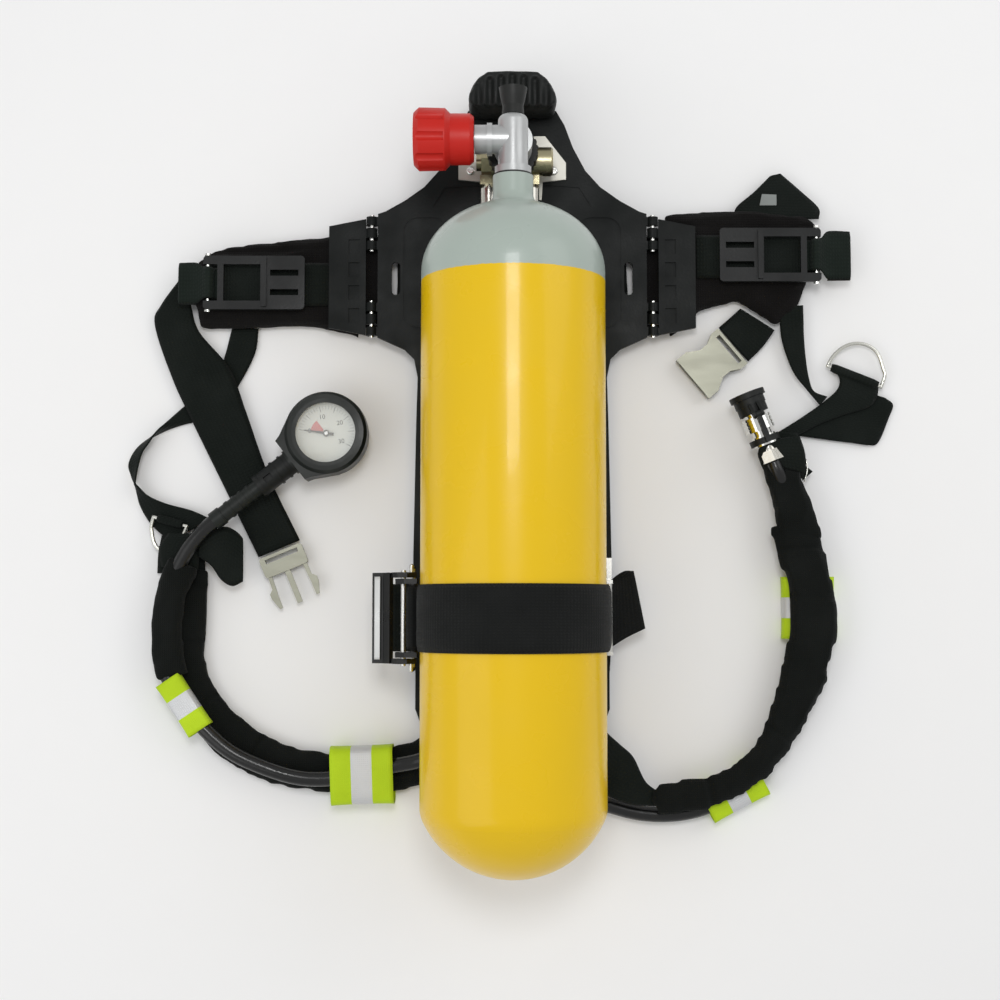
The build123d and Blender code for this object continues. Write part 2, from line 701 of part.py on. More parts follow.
def hip_plate(side):
    outline = mirrored([(119.8, 70), (119.8, 166), (150, 160), (150, 76)], side)
    sheet = prism(outline, PLATE_LOW, HIP_HIGH)
    for row in range(4):
        y = 86 + row * 19
        pocket = block(side * 125, side * 134, y - 6, y + 6, HIP_HIGH - 1.4, 20)
        sheet -= pocket
    knuckles, bore = hinge_knuckles(side, (0,), 8, PIN_R + RUN)
    for knuckle in knuckles:
        sheet += knuckle
    for station in STATIONS:
        sheet += block(side * HINGE_X, side * 121, station - 4, station + 4, PLATE_LOW, HIP_HIGH)
    return sheet - bore


LEFT_WING = [
    (-128, 157), (-170, 157), (-236, 148), (-252, 141), (-263, 131), (-271, 120), (-256, 72), (-208, 72),
    (-170, 73), (-133, 67), (-128, 67),
]
RIGHT_WING = [
    (128, 174), (166, 178), (200, 180), (240, 176), (254, 165), (256, 160), (239, 92), (221, 76),
    (184, 94), (154, 86), (128, 70),
]


def wing_pad(outline):
    return prism(outline, 0, PAD_TOP)


def wing_webbing(side, y0, y1):
    """The flat webbing that lies along a wing and carries the adjuster."""
    return block(side * 151, side * 252, y0, y1, 14, 16.5)


ADJUST_Z = 22.0
ADJUST_X = 248.0


def adjuster(side, y0, y1):
    """A ladder frame: a slotted grip, two rails, a crossbar and two pin lugs."""
    frame = block(side * 169, side * 251.5, y0, y1, ADJUST_Z - 2, ADJUST_Z + 2)
    frame = fillet(frame.edges() | Axis.Z, radius=3)
    frame -= block(side * 205, side * 235, y0 + 7, y1 - 7, 10, 30)
    frame -= block(side * 240, side * 260, y0 + 7, y1 - 7, 10, 30)
    middle = (y0 + y1) / 2
    for offset in (-8, 8):
        frame -= block(side * 174, side * 197, middle + offset - 2.5, middle + offset + 2.5, 10, 30)
    frame += block(side * 200, side * 204, y0 + 2, y1 - 2, ADJUST_Z, ADJUST_Z + 4)
    return frame - rod_y(1.5 + RUN, y0 - 5, y1 + 5, side * ADJUST_X, ADJUST_Z)


def adjuster_pin(side, y0, y1):
    pin = rod_y(1.5, y0 - 2, y1 + 2, side * ADJUST_X, ADJUST_Z)
    for y in (y0 - 2, y1 + 0.4):
        pin += rod_y(2.6, y, y + 1.6, side * ADJUST_X, ADJUST_Z)
    return pin


def adjuster_tab(side, y0, y1, reach):
    """Webbing folded round the adjuster's pin, running out past the wing."""
    tab = rod_y(3.6, y0 + 9, y1 - 9, side * ADJUST_X, ADJUST_Z)
    tab += block(side * 249, side * reach, y0 + 9, y1 - 9, ADJUST_Z - 3.4, ADJUST_Z - 1.4)
    tab += block(side * 252.2, side * (reach - 2), y0 + 9, y1 - 9, PAD_TOP + 0.2, ADJUST_Z - 2)
    return tab - rod_y(1.5, y0, y1, side * ADJUST_X, ADJUST_Z)


LEFT_ADJUST = (90.0, 134.0)
RIGHT_ADJUST = (113.0, 157.0)

LEFT_BELT = [
    (-274, 119), (-289, 96), (-294, 82), (-278, 35), (-262, 1), (-230, -62), (-207, -111), (-173, -97),
    (-202, -37), (-226, 35), (-243, 66), (-258.5, 71),
]
LEFT_PULL = [
    (-229, 71), (-228, 64), (-242, 42), (-268, 14), (-287, -4), (-312.5, -29), (-300, -31), (-284, -11),
    (-262, 0), (-233, 24), (-213, 55), (-209, 71),
]
RIGHT_BELT = [(185, 92), (218, 74), (215, 68), (194, 49.5), (169.5, 77.5)]
RIGHT_PULL = [
    (223, 76), (238.5, 90), (239.5, 72), (245, 32), (249, 13), (246, 9), (239, 17), (230, 40),
]


def buckle_place(at, turn):
    """Places a buckle drawn with its strap edge at the local origin and its front along +Y."""
    return Pos(at[0], at[1], 0) * Rot(0, 0, turn)


MALE_AT = (-189.6, -105.0)
MALE_TURN = 202.4
PRONG_X = 15.0
PRONG_Y = 15.0
FEMALE_AT = (181.5, 62.8)
FEMALE_TURN = 129.9
BUCKLE_LOW = 4.5
BUCKLE_HIGH = 9.5


def buckle_male_body():
    body = block(-18.5, 18.5, 1, 18, BUCKLE_LOW, BUCKLE_HIGH)
    body = fillet(body.edges() | Axis.Z, radius=2.5)
    body -= block(-14, 14, 3.5, 7, 0, 20)
    body += block(-2.2, 2.2, 17, 46, 5.6, 8.4)
    for side in SIDES:
        body -= block(side * 10.8, side * 20, 10.6, 20, 5.6, 8.4)
        body += rod_z(1.2, BUCKLE_LOW, BUCKLE_HIGH, side * PRONG_X, PRONG_Y)
    return buckle_place(MALE_AT, MALE_TURN) * body


def buckle_prong(side):
    outline = [
        (13.6, 14), (16.6, 14), (17.2, 28), (20.5, 31), (20.4, 35), (17.2, 45), (14.6, 45), (14.6, 34),
        (14, 28),
    ]
    arm = prism(mirrored(outline, side), 5.8, 8.2)
    arm += rod_z(3.2, 5.8, 8.2, side * PRONG_X, PRONG_Y)
    arm -= rod_z(1.2 + RUN, 0, 20, side * PRONG_X, PRONG_Y)
    return buckle_place(MALE_AT, MALE_TURN) * arm


def buckle_female():
    half = [(18.8, 1), (18.8, 8), (14.5, 16), (14.5, 24), (20.5, 34), (20.5, 44)]
    outline = half + mirrored(reversed(half), -1)
    body = prism(outline, 2.5, 11)
    body -= block(-16.5, 16.5, 12, 50, 5, 8.8)
    body -= block(-14, 14, 3.5, 7, 0, 20)
    return buckle_place(FEMALE_AT, FEMALE_TURN) * body


# ---------------------------------------------------------------- gauge
BOOT_BORE = 29.4  # the boot's cavity, a little larger than the case
GAUGE_STEM_R = 4.0
NEEDLE_SHAFT_R = 1.0
NEEDLE_ZERO = 172.0  # direction of the needle at zero pressure, degrees


def gauge_place():
    return Pos(*GAUGE_AT) * Rot(0, 0, GAUGE_TURN)


def gauge_boot():
    """A rubber cup with a rolled rim, flared out to both sides of the gauge's neck."""
    profile = [(0, -15), (29, -15), (33, -11), (33.5, 0), (33, 11), (30.5, 14.6), (27, 15), (0, 15)]
    boot = turned([(x, 0, z) for x, z in profile], Axis.Z)
    shroud = [(12, -31), (31, -21), (36, -19.5), (36, 19.5), (31, 21), (12, 31)]
    boot += prism(shroud, -12, 11)
    boot += rod_x(11, 30, 38)
    boot -= rod_z(BOOT_BORE, -11.6, 12.2)
    boot -= rod_z(24, 10, 20)
    boot -= rod_x(GAUGE_STEM_R, 20, 42)
    return gauge_place() * boot


def gauge_case():
    cup = rod_z(BOOT_BORE - 0.1, -11.5, 10) - rod_z(27.6, -10, 11)
    return gauge_place() * (cup - rod_x(GAUGE_STEM_R, 20, 40))


def gauge_stem():
    return gauge_place() * (rod_x(GAUGE_STEM_R, 14, 46) - rod_x(1.5, 13, 47))


def gauge_dial():
    return gauge_place() * (rod_z(27, 4, 5) - rod_z(1.6, 3, 6))


def gauge_lens():
    return gauge_place() * rod_z(29.2, 10.1, 12.1)


def bourdon_tube():
    arc = ThreePointArc((14, 0, 0), (-12, 12, 0), (-4, -16.5, 0))
    tube = sweep(Plane(origin=arc @ 0, z_dir=arc % 0) * Circle(2.2), path=arc)
    holder = block(8, 16.5, -4, 4, -8, 2)
    return gauge_place() * (Pos(0, 0, -5) * tube + holder - rod_x(GAUGE_STEM_R, 14, 46))


def gauge_movement():
    gearbox = block(-6, 6, -5, 5, -9.8, 0.5) - rod_z(NEEDLE_SHAFT_R + RUN, -3, 4)
    return gauge_place() * gearbox


def gauge_needle():
    shaft = rod_z(NEEDLE_SHAFT_R, -2.5, 7.5) + rod_z(2.6, 6.2, 7.6)
    pointer = prism([(-6, -1.2), (18, -0.4), (18, 0.4), (-6, 1.2)], 6.4, 7.2)
    return Pos(*GAUGE_AT) * (Rot(0, 0, NEEDLE_ZERO) * pointer + shaft)


def whistle_body():
    body = rod_x(9.5, 38.1, 66) + rod_x(10.4, 42, 44) + rod_x(10.4, 50, 52) + rod_x(10, 66, 69.5)
    body -= rod_x(GAUGE_STEM_R + RUN, 36, 48)
    body -= rod_x(1.5, 40, 80)
    body -= block(55, 62, -2.5, 2.5, 6, 12)
    return gauge_place() * body


def gauge_bend_relief():
    relief = rod_x(6.6, 69.5, 108) + rod_x(7.6, 106, 115)
    for x in (76, 83, 90, 97):
        relief += rod_x(7.3, x, x + 3)
    relief -= rod_x(1.5, 69, 116)
    return gauge_place() * (relief - rod_x(HOSE_R + 0.4, 109, 116))


# ---------------------------------------------------------------- supply coupler
def coupler_place():
    return Pos(*COUPLER_AT) * Rot(0, 0, COUPLER_TURN)


CAP_PIVOT = (25.0, 16.0)  # along the coupler's axis, and above it
CAP_BORE = 10.7
SEAM_TURN = 11.25  # turns the round faces' seams away from the coupler's planes of symmetry


def coupler_ferrule():
    hexagon = extrude(RegularPolygon(radius=9.6, side_count=6), amount=9)
    hexagon = Pos(-14, 0, 0) * Rot(0, 90, 0) * hexagon
    ferrule = hexagon + rod_x(7.5, -5.2, 0)
    return coupler_place() * (ferrule - rod_x(3, -20, 5))


def coupler_body():
    """The coupler's shell: its socket ends at the valve that shuts it when nothing is plugged in."""
    body = rod_x(10, 0, 8) + rod_x(8, 7, 27) + rod_x(9, 26.4, 33)
    socket = rod_x(5, 20, 40)
    return coupler_place() * Rot(SEAM_TURN, 0, 0) * (body - socket)


def coupler_sleeve():
    sleeve = rod_x(12, 12.4, 24) - rod_x(8 + RUN, 0, 40)
    for x in (15, 18, 21):
        sleeve -= rod_x(14, x, x + 1) - rod_x(11.4, x - 1, x + 2)
    return coupler_place() * Rot(SEAM_TURN, 0, 0) * sleeve


def cap_tether():
    ring = rod_x(12.4, 1.5, 6.5) - rod_x(10, 0, 8)
    arm = block(1.5, 25, -2, 2, 14.6, 17.4)
    post = block(1.5, 6.5, -2, 2, 11, 15)
    eye = rod_y(2.6, -2, 2, *CAP_PIVOT)
    return coupler_place() * (ring + post + arm + eye - rod_y(1.5 + RUN, -5, 5, *CAP_PIVOT))


def dust_cap():
    cap = rod_x(12, 27, 34) + rod_x(12.6, 34, 40) + rod_x(14.6, 40, 44.5) - rod_x(CAP_BORE, 26, 41.5)
    cap = Rot(SEAM_TURN, 0, 0) * cap
    lug = [(27.2, 11.1), (35, 11.1), (35, 13.5), (27, 18.2), (24, 18.8), (22.4, 16), (24, 13.4)]
    for y0, y1 in ((-4.6, -2.3), (2.3, 4.6)):
        cap += slab_y(lug, y0, y1)
    cap += rod_y(1.5, -4.6, 4.6, *CAP_PIVOT)
    return coupler_place() * cap


# ---------------------------------------------------------------- write every node
save("cylinder_shell", cylinder_shell())
save("neck_o_ring", neck_o_ring())
save("valve_body", valve_body())
save("valve_stem", valve_stem())
save("valve_plug", valve_plug())
save("valve_handwheel", valve_handwheel())
save("valve_end_cap", valve_end_cap())

save("reducer_body", reducer_body())
save("reducer_cap", reducer_cap())
save("reducer_piston", reducer_piston())
save("reducer_spring", reducer_spring())
save("relief_valve", relief_valve())
save("reducer_handwheel", reducer_handwheel())
save("coupling_nose", coupling_nose())
save("reducer_bracket", reducer_bracket())
save("hose_fittings", *hose_fittings(), coupler_ferrule())

save("backplate", backplate())
save("end_bumper", end_bumper())
save("lumbar_pad", lumbar_pad())
save("cradle_pads", *cradle_pads())
save("steel_pins_and_screws", *hinge_pins(), *bracket_screws(), band_buckle_pin())

save("cylinder_band", cylinder_band())
save("band_anchors", band_anchor(), band_hook())
save("band_buckle_frame", band_buckle_frame())
save("band_lever", band_lever())
save("band_bail", band_bail())

save("left_shoulder_pad", left_shoulder_pad(), left_hose_cover())
save("right_shoulder_pad", right_shoulder_pad(), right_hose_shroud())
save("gauge_hose", gauge_hose())
save("supply_hose", supply_hose())
save("reflective_sleeves", *left_reflective_sleeves(), *right_reflective_sleeves())
strap_ends = [right_loop_webbing(), left_strap_end(), left_strap_tail()]
save("shoulder_webbing", *shoulder_anchor_webs(), *strap_ends)
save("left_d_ring", d_ring(LEFT_RING, -1, 24))
save("right_d_ring", d_ring(RIGHT_RING, 1, 28))

save("left_hip_plate", hip_plate(-1))
save("right_hip_plate", hip_plate(1))
save("left_wing_pad", wing_pad(LEFT_WING))
save("right_wing_pad", wing_pad(RIGHT_WING))
left_webs = [wing_webbing(-1, 94, 130), prism(LEFT_BELT, 5, 7.5), prism(LEFT_PULL, 1, 3.5)]
right_webs = [wing_webbing(1, 117, 153), prism(RIGHT_BELT, 4, 6.5), prism(RIGHT_PULL, 8, 10.5)]
save("left_wing_webbing", *left_webs, adjuster_tab(-1, *LEFT_ADJUST, 272))
save("right_wing_webbing", *right_webs, adjuster_tab(1, *RIGHT_ADJUST, 276))
save("left_adjuster_pin", adjuster_pin(-1, *LEFT_ADJUST))
save("right_adjuster_pin", adjuster_pin(1, *RIGHT_ADJUST))
save("left_adjuster", adjuster(-1, *LEFT_ADJUST))
save("right_adjuster", adjuster(1, *RIGHT_ADJUST))
save("buckle_male_body", buckle_male_body())
save("buckle_prong_left", buckle_prong(-1))
save("buckle_prong_right", buckle_prong(1))
save("buckle_female", buckle_female())

save("gauge_boot", gauge_boot())
save("gauge_case", gauge_case())
save("gauge_dial", gauge_dial())
save("gauge_lens", gauge_lens())
save("gauge_movement", gauge_stem(), bourdon_tube(), gauge_movement())
save("gauge_needle", gauge_needle())
save("whistle_body", whistle_body())
save("gauge_bend_relief", gauge_bend_relief())

save("coupler_body", coupler_body())
save("coupler_sleeve", coupler_sleeve())
save("cap_tether", cap_tether())
save("dust_cap", dust_cap())
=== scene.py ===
import math

import bmesh
import bpy
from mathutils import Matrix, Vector, noise


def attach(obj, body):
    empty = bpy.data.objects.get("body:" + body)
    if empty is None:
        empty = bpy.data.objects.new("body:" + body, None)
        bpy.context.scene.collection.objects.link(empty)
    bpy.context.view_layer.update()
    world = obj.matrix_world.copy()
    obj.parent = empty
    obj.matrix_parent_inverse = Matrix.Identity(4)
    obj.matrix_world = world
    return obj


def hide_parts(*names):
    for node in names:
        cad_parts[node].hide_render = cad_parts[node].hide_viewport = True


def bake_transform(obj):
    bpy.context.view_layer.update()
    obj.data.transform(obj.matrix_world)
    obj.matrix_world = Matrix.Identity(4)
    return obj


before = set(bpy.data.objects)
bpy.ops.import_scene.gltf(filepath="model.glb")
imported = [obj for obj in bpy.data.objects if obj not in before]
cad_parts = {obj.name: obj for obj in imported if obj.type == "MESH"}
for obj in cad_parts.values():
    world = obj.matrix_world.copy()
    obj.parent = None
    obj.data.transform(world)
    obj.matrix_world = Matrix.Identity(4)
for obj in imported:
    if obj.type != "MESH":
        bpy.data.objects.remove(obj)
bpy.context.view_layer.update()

MM = 0.001
SCENE = bpy.context.scene


# ---------------------------------------------------------------- materials
def add_node(tree, kind, **values):
    """One shader node with its inputs or properties set by name."""
    node = tree.nodes.new(kind)
    for key, value in values.items():
        if key in node.inputs:
            node.inputs[key].default_value = value
        else:
            setattr(node, key, value)
    return node


def surface(name, colour, rough, metal=0.0, grain=300.0, bump=0.15, spread=0.12, shade=0.25,
            coat=0.0, sheen=0.0, specular=0.5, stretch=(1, 1, 1)):
    """A material with fine grain, uneven roughness and slight changes of shade."""
    made = bpy.data.materials.new(name)
    made.use_nodes = True
    tree = made.node_tree
    shader = tree.nodes["Principled BSDF"]
    shader.inputs["Metallic"].default_value = metal
    shader.inputs["Coat Weight"].default_value = coat
    shader.inputs["Coat Roughness"].default_value = 0.08
    shader.inputs["Sheen Weight"].default_value = sheen
    shader.inputs["Sheen Roughness"].default_value = 0.6
    shader.inputs["Specular IOR Level"].default_value = specular
    place = add_node(tree, "ShaderNodeTexCoord")
    mapping = add_node(tree, "ShaderNodeMapping")
    mapping.inputs["Scale"].default_value = stretch
    tree.links.new(place.outputs["Object"], mapping.inputs["Vector"])
    fine = add_node(tree, "ShaderNodeTexNoise", Scale=grain, Detail=4.0)
    broad = add_node(tree, "ShaderNodeTexNoise", Scale=28.0, Detail=3.0)
    tree.links.new(mapping.outputs["Vector"], fine.inputs["Vector"])
    tree.links.new(mapping.outputs["Vector"], broad.inputs["Vector"])
    ramp = add_node(tree, "ShaderNodeMapRange")
    ramp.inputs["From Min"].default_value = 0.3
    ramp.inputs["From Max"].default_value = 0.7
    ramp.inputs["To Min"].default_value = rough - spread
    ramp.inputs["To Max"].default_value = rough + spread
    tree.links.new(broad.outputs["Fac"], ramp.inputs["Value"])
    tree.links.new(ramp.outputs["Result"], shader.inputs["Roughness"])
    mix = add_node(tree, "ShaderNodeMix", data_type="RGBA")
    mix.inputs["A"].default_value = (*colour, 1)
    mix.inputs["B"].default_value = (*[c * (1 - shade) for c in colour], 1)
    tree.links.new(broad.outputs["Fac"], mix.inputs["Factor"])
    tree.links.new(mix.outputs["Result"], shader.inputs["Base Color"])
    relief = add_node(tree, "ShaderNodeBump", Strength=bump, Distance=0.0006)
    tree.links.new(fine.outputs["Fac"], relief.inputs["Height"])
    tree.links.new(relief.outputs["Normal"], shader.inputs["Normal"])
    return made


def tree_parts(made):
    """The node tree, its shader and its colour mix."""
    tree = made.node_tree
    mix = next(n for n in tree.nodes if n.type == "MIX")
    return tree, tree.nodes["Principled BSDF"], mix


def woven(name, colour, rough, rib=0.0024, cross=0.0032, bump=0.6, uv=True, shade=0.45, sheen=0.03):
    """Cloth or webbing: two sets of ribs over the plain surface."""
    made = surface(name, colour, rough, grain=500, bump=0.2, shade=0.3, sheen=sheen, specular=0.12)
    tree, shader, mix = tree_parts(made)
    place = next(n for n in tree.nodes if n.type == "TEX_COORD")
    source = place.outputs["UV" if uv else "Object"]
    waves = []
    for direction, pitch in (("X", rib), ("Y", cross)):
        wave = add_node(tree, "ShaderNodeTexWave", bands_direction=direction, Distortion=0.6)
        wave.inputs["Scale"].default_value = 0.314 / pitch
        wave.inputs["Detail Scale"].default_value = 300
        tree.links.new(source, wave.inputs["Vector"])
        waves.append(wave)
    product = add_node(tree, "ShaderNodeMath", operation="MULTIPLY")
    tree.links.new(waves[0].outputs["Fac"], product.inputs[0])
    tree.links.new(waves[1].outputs["Fac"], product.inputs[1])
    old = next(n for n in tree.nodes if n.type == "BUMP")
    relief = add_node(tree, "ShaderNodeBump", Strength=bump, Distance=0.0006)
    tree.links.new(product.outputs[0], relief.inputs["Height"])
    tree.links.new(old.outputs["Normal"], relief.inputs["Normal"])
    tree.links.new(relief.outputs["Normal"], shader.inputs["Normal"])
    darker = add_node(tree, "ShaderNodeMix", data_type="RGBA", blend_type="MULTIPLY")
    darker.inputs["B"].default_value = (1 + shade, 1 + shade, 1 + shade, 1)
    tree.links.new(product.outputs[0], darker.inputs["Factor"])
    tree.links.new(mix.outputs["Result"], darker.inputs["A"])
    tree.links.new(darker.outputs["Result"], shader.inputs["Base Color"])
    return made


def second_colour(made, fraction, colour):
    """Puts another colour over a material wherever the fraction socket is one."""
    tree, shader, mix = tree_parts(made)
    two = add_node(tree, "ShaderNodeMix", data_type="RGBA")
    two.inputs["B"].default_value = (*colour, 1)
    tree.links.new(fraction, two.inputs["Factor"])
    tree.links.new(mix.outputs["Result"], two.inputs["A"])
    tree.links.new(two.outputs["Result"], shader.inputs["Base Color"])


def place_axes(made, socket="Object"):
    """The material's place, split into its three axes."""
    tree = made.node_tree
    place = next(n for n in tree.nodes if n.type == "TEX_COORD")
    axes = add_node(tree, "ShaderNodeSeparateXYZ")
    tree.links.new(place.outputs[socket], axes.inputs["Vector"])
    return axes


def painted_cylinder():
    """Glossy enamel: yellow below the line and grey-green above it."""
    made = surface("cylinder_enamel", (0.78, 0.50, 0.0), 0.3, grain=160, bump=0.05, spread=0.06,
                   shade=0.05, coat=0.2, specular=0.3)
    tree = made.node_tree
    axes = place_axes(made)
    ripple = add_node(tree, "ShaderNodeTexNoise", Scale=40.0)
    wobble = add_node(tree, "ShaderNodeMath", operation="MULTIPLY_ADD")
    wobble.inputs[1].default_value = 0.0012
    tree.links.new(ripple.outputs["Fac"], wobble.inputs[0])
    tree.links.new(axes.outputs["Y"], wobble.inputs[2])
    above = add_node(tree, "ShaderNodeMath", operation="GREATER_THAN")
    above.inputs[1].default_value = PAINT_LINE
    tree.links.new(wobble.outputs[0], above.inputs[0])
    second_colour(made, above.outputs[0], (0.37, 0.43, 0.39))
    return made


def striped(name, inner):
    """Retroreflective sleeve: a silver stripe between two lime ones, along u."""
    made = woven(name, (0.55, 0.78, 0.02), 0.55, rib=0.0016, cross=0.0016, bump=0.3, shade=0.15)
    tree, shader, _ = tree_parts(made)
    axes = place_axes(made, "UV")
    away = add_node(tree, "ShaderNodeMath", operation="ABSOLUTE")
    tree.links.new(axes.outputs["X"], away.inputs[0])
    edge = add_node(tree, "ShaderNodeMath", operation="LESS_THAN")
    edge.inputs[1].default_value = inner
    tree.links.new(away.outputs[0], edge.inputs[0])
    second_colour(made, edge.outputs[0], (0.62, 0.63, 0.64))
    metal = add_node(tree, "ShaderNodeMath", operation="MULTIPLY")
    metal.inputs[1].default_value = 0.55
    tree.links.new(edge.outputs[0], metal.inputs[0])
    tree.links.new(metal.outputs[0], shader.inputs["Metallic"])
    return made


def anchor_metal():
    """Zinc plate on the right, and a blackened hook on the latch side."""
    made = surface("anchor_plate", (0.8, 0.8, 0.77), 0.3, metal=0.8, bump=0.08)
    tree = made.node_tree
    axes = place_axes(made)
    side = add_node(tree, "ShaderNodeMath", operation="LESS_THAN")
    side.inputs[1].default_value = 0.0
    tree.links.new(axes.outputs["X"], side.inputs[0])
    second_colour(made, side.outputs[0], (0.012, 0.012, 0.012))
    return made


def clear_glass():
    """Thin instrument glass that lets the dial show."""
    made = surface("instrument_glass", (0.95, 0.97, 0.96), 0.06, grain=80, bump=0.02, spread=0.03,
                   shade=0.02)
    made.node_tree.nodes["Principled BSDF"].inputs["Alpha"].default_value = 0.16
    return made


PAINT_LINE = 0.0955
M = {
    "cylinder": painted_cylinder(),
    "seal": surface("seal_rubber", (0.012, 0.012, 0.012), 0.5),
    "valve": surface("valve_plating", (0.50, 0.51, 0.51), 0.36, metal=0.6, bump=0.08, spread=0.1,
                     shade=0.12),
    "spindle": surface("spindle_steel", (0.45, 0.45, 0.45), 0.3, metal=1.0),
    "seat": surface("seat_brass", (0.6, 0.47, 0.25), 0.4, metal=1.0),
    "red": surface("red_handwheel", (0.55, 0.012, 0.006), 0.42, grain=220, bump=0.12, shade=0.14,
                   specular=0.3),
    "brass": surface("nickel_brass", (0.52, 0.47, 0.30), 0.28, metal=1.0, bump=0.1, shade=0.3),
    "fitting": surface("hose_ferrule", (0.66, 0.64, 0.58), 0.25, metal=1.0, bump=0.1),
    "knob": surface("black_knob", (0.008, 0.009, 0.008), 0.45, grain=260, specular=0.35),
    "stainless": surface("stainless_sheet", (0.52, 0.51, 0.46), 0.42, metal=0.7, grain=200,
                         bump=0.12, shade=0.12),
    "steel": surface("pin_steel", (0.8, 0.8, 0.77), 0.22, metal=1.0, bump=0.08),
    "anchor": anchor_metal(),
    "plate": surface("moulded_plate", (0.006, 0.0075, 0.0072), 0.5, grain=520, bump=0.28,
                     shade=0.2, specular=0.16),
    "grip": surface("buckle_plastic", (0.009, 0.0098, 0.0100), 0.45, grain=420, bump=0.2,
                    shade=0.25, specular=0.28),
    "rubber": surface("moulded_rubber", (0.006, 0.0075, 0.0068), 0.5, grain=180, bump=0.3,
                      specular=0.3, stretch=(1, 1, 0.25)),
    "boot": surface("boot_rubber", (0.008, 0.011, 0.009), 0.42, grain=240, bump=0.18, specular=0.35),
    "hose": surface("hose_rubber", (0.006, 0.0065, 0.0065), 0.28, grain=260, bump=0.1, coat=0.1,
                    specular=0.4),
    "pad": woven("pad_fabric", (0.0045, 0.0058, 0.0050), 0.85, rib=0.0017, cross=0.0017, uv=False),
    "lining": woven("pad_lining", (0.0052, 0.0046, 0.0044), 0.9, rib=0.002, cross=0.002, uv=False),
    "webbing": woven("webbing", (0.0045, 0.0072, 0.0055), 0.72),
    "green": woven("webbing_face", (0.0075, 0.0125, 0.0095), 0.75),
    "band": woven("band_webbing", (0.0062, 0.0070, 0.0066), 0.7, rib=0.003, cross=0.0022),
    "vis": striped("reflective_sleeve", 0.0083),
    "nickel": surface("brushed_nickel", (0.33, 0.33, 0.27), 0.4, metal=0.9, grain=380, bump=0.09,
                      shade=0.15, spread=0.06, stretch=(1, 4, 1)),
    "wire": surface("ring_wire", (0.78, 0.78, 0.72), 0.2, metal=1.0, bump=0.06),
    "case": surface("gauge_steel", (0.58, 0.56, 0.47), 0.25, metal=1.0),
    "chrome": surface("coupler_chrome", (0.80, 0.80, 0.77), 0.13, metal=1.0, bump=0.05),
    "dial": surface("dial_face", (0.78, 0.80, 0.75), 0.55, grain=200, bump=0.03, shade=0.05),
    "ink": surface("dial_ink", (0.03, 0.03, 0.03), 0.6),
    "danger": surface("dial_red", (0.72, 0.16, 0.16), 0.6, shade=0.1),
    "glass": clear_glass(),
    "stripe": surface("reflective_strip", (0.72, 0.73, 0.72), 0.35, metal=0.3, grain=350, bump=0.2),
    "lever": surface("lever_plastic", (0.007, 0.0075, 0.0075), 0.35, grain=300, bump=0.15,
                     specular=0.4),
    "label": surface("pale_patch", (0.25, 0.27, 0.26), 0.7, grain=400, bump=0.2),
}

CAD_LOOK = {
    "cylinder": ["cylinder_shell"],
    "seal": ["neck_o_ring"],
    "valve": ["valve_body"],
    "spindle": ["valve_stem"],
    "seat": ["valve_plug"],
    "red": ["valve_handwheel"],
    "knob": ["valve_end_cap", "reducer_handwheel"],
    "brass": ["reducer_body", "reducer_cap", "relief_valve"],
    "fitting": ["hose_fittings", "coupling_nose", "reducer_piston", "reducer_spring"],
    "stainless": ["reducer_bracket"],
    "steel": ["steel_pins_and_screws", "left_adjuster_pin", "right_adjuster_pin"],
    "anchor": ["band_anchors"],
    "plate": ["backplate", "left_hip_plate", "right_hip_plate"],
    "rubber": ["end_bumper", "cradle_pads", "dust_cap", "cap_tether", "whistle_body"],
    "boot": ["gauge_boot", "gauge_bend_relief"],
    "hose": ["gauge_hose", "supply_hose"],
    "grip": ["left_adjuster", "right_adjuster"],
    "lever": ["band_lever", "band_buckle_frame"],
    "wire": ["band_bail", "left_d_ring", "right_d_ring"],
    "nickel": ["buckle_female", "buckle_male_body", "buckle_prong_left", "buckle_prong_right"],
    "case": ["gauge_case", "gauge_movement"],
    "dial": ["gauge_dial"],
    "glass": ["gauge_lens"],
    "ink": ["gauge_needle"],
    "chrome": ["coupler_body", "coupler_sleeve"],
    "pad": ["lumbar_pad", "left_wing_pad", "right_wing_pad", "left_shoulder_pad",
            "right_shoulder_pad"],
    "webbing": ["shoulder_webbing", "left_wing_webbing", "right_wing_webbing", "cylinder_band"],
    "vis": ["reflective_sleeves"],
}
BEVELS = {
    "left_adjuster": 0.9, "right_adjuster": 0.9, "left_hip_plate": 0.5, "right_hip_plate": 0.5,
    "buckle_female": 0.9, "buckle_male_body": 0.6, "reducer_bracket": 0.4, "end_bumper": 1.0,
    "valve_handwheel": 0.9, "valve_body": 0.5, "reducer_cap": 0.4, "relief_valve": 0.4,
    "band_buckle_frame": 0.5, "band_lever": 0.6, "backplate": 0.5, "buckle_prong_left": 0.4,
    "buckle_prong_right": 0.4, "gauge_boot": 0.7, "dust_cap": 0.5, "hose_fittings": 0.4,
    "band_anchors": 0.4, "cradle_pads": 0.8,
}


def dress_cad():
    """Gives every CAD node its finish and softens the edges of the moulded ones."""
    for look, names in CAD_LOOK.items():
        for name in names:
            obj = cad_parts[name]
            obj.data.materials.clear()
            obj.data.materials.append(M[look])
            if name in BEVELS:
                edge = obj.modifiers.new("edge", "BEVEL")
                edge.width = BEVELS[name] * MM
                edge.segments = 2
                edge.limit_method = "ANGLE"
                edge.angle_limit = math.radians(40)
                edge.use_clamp_overlap = True


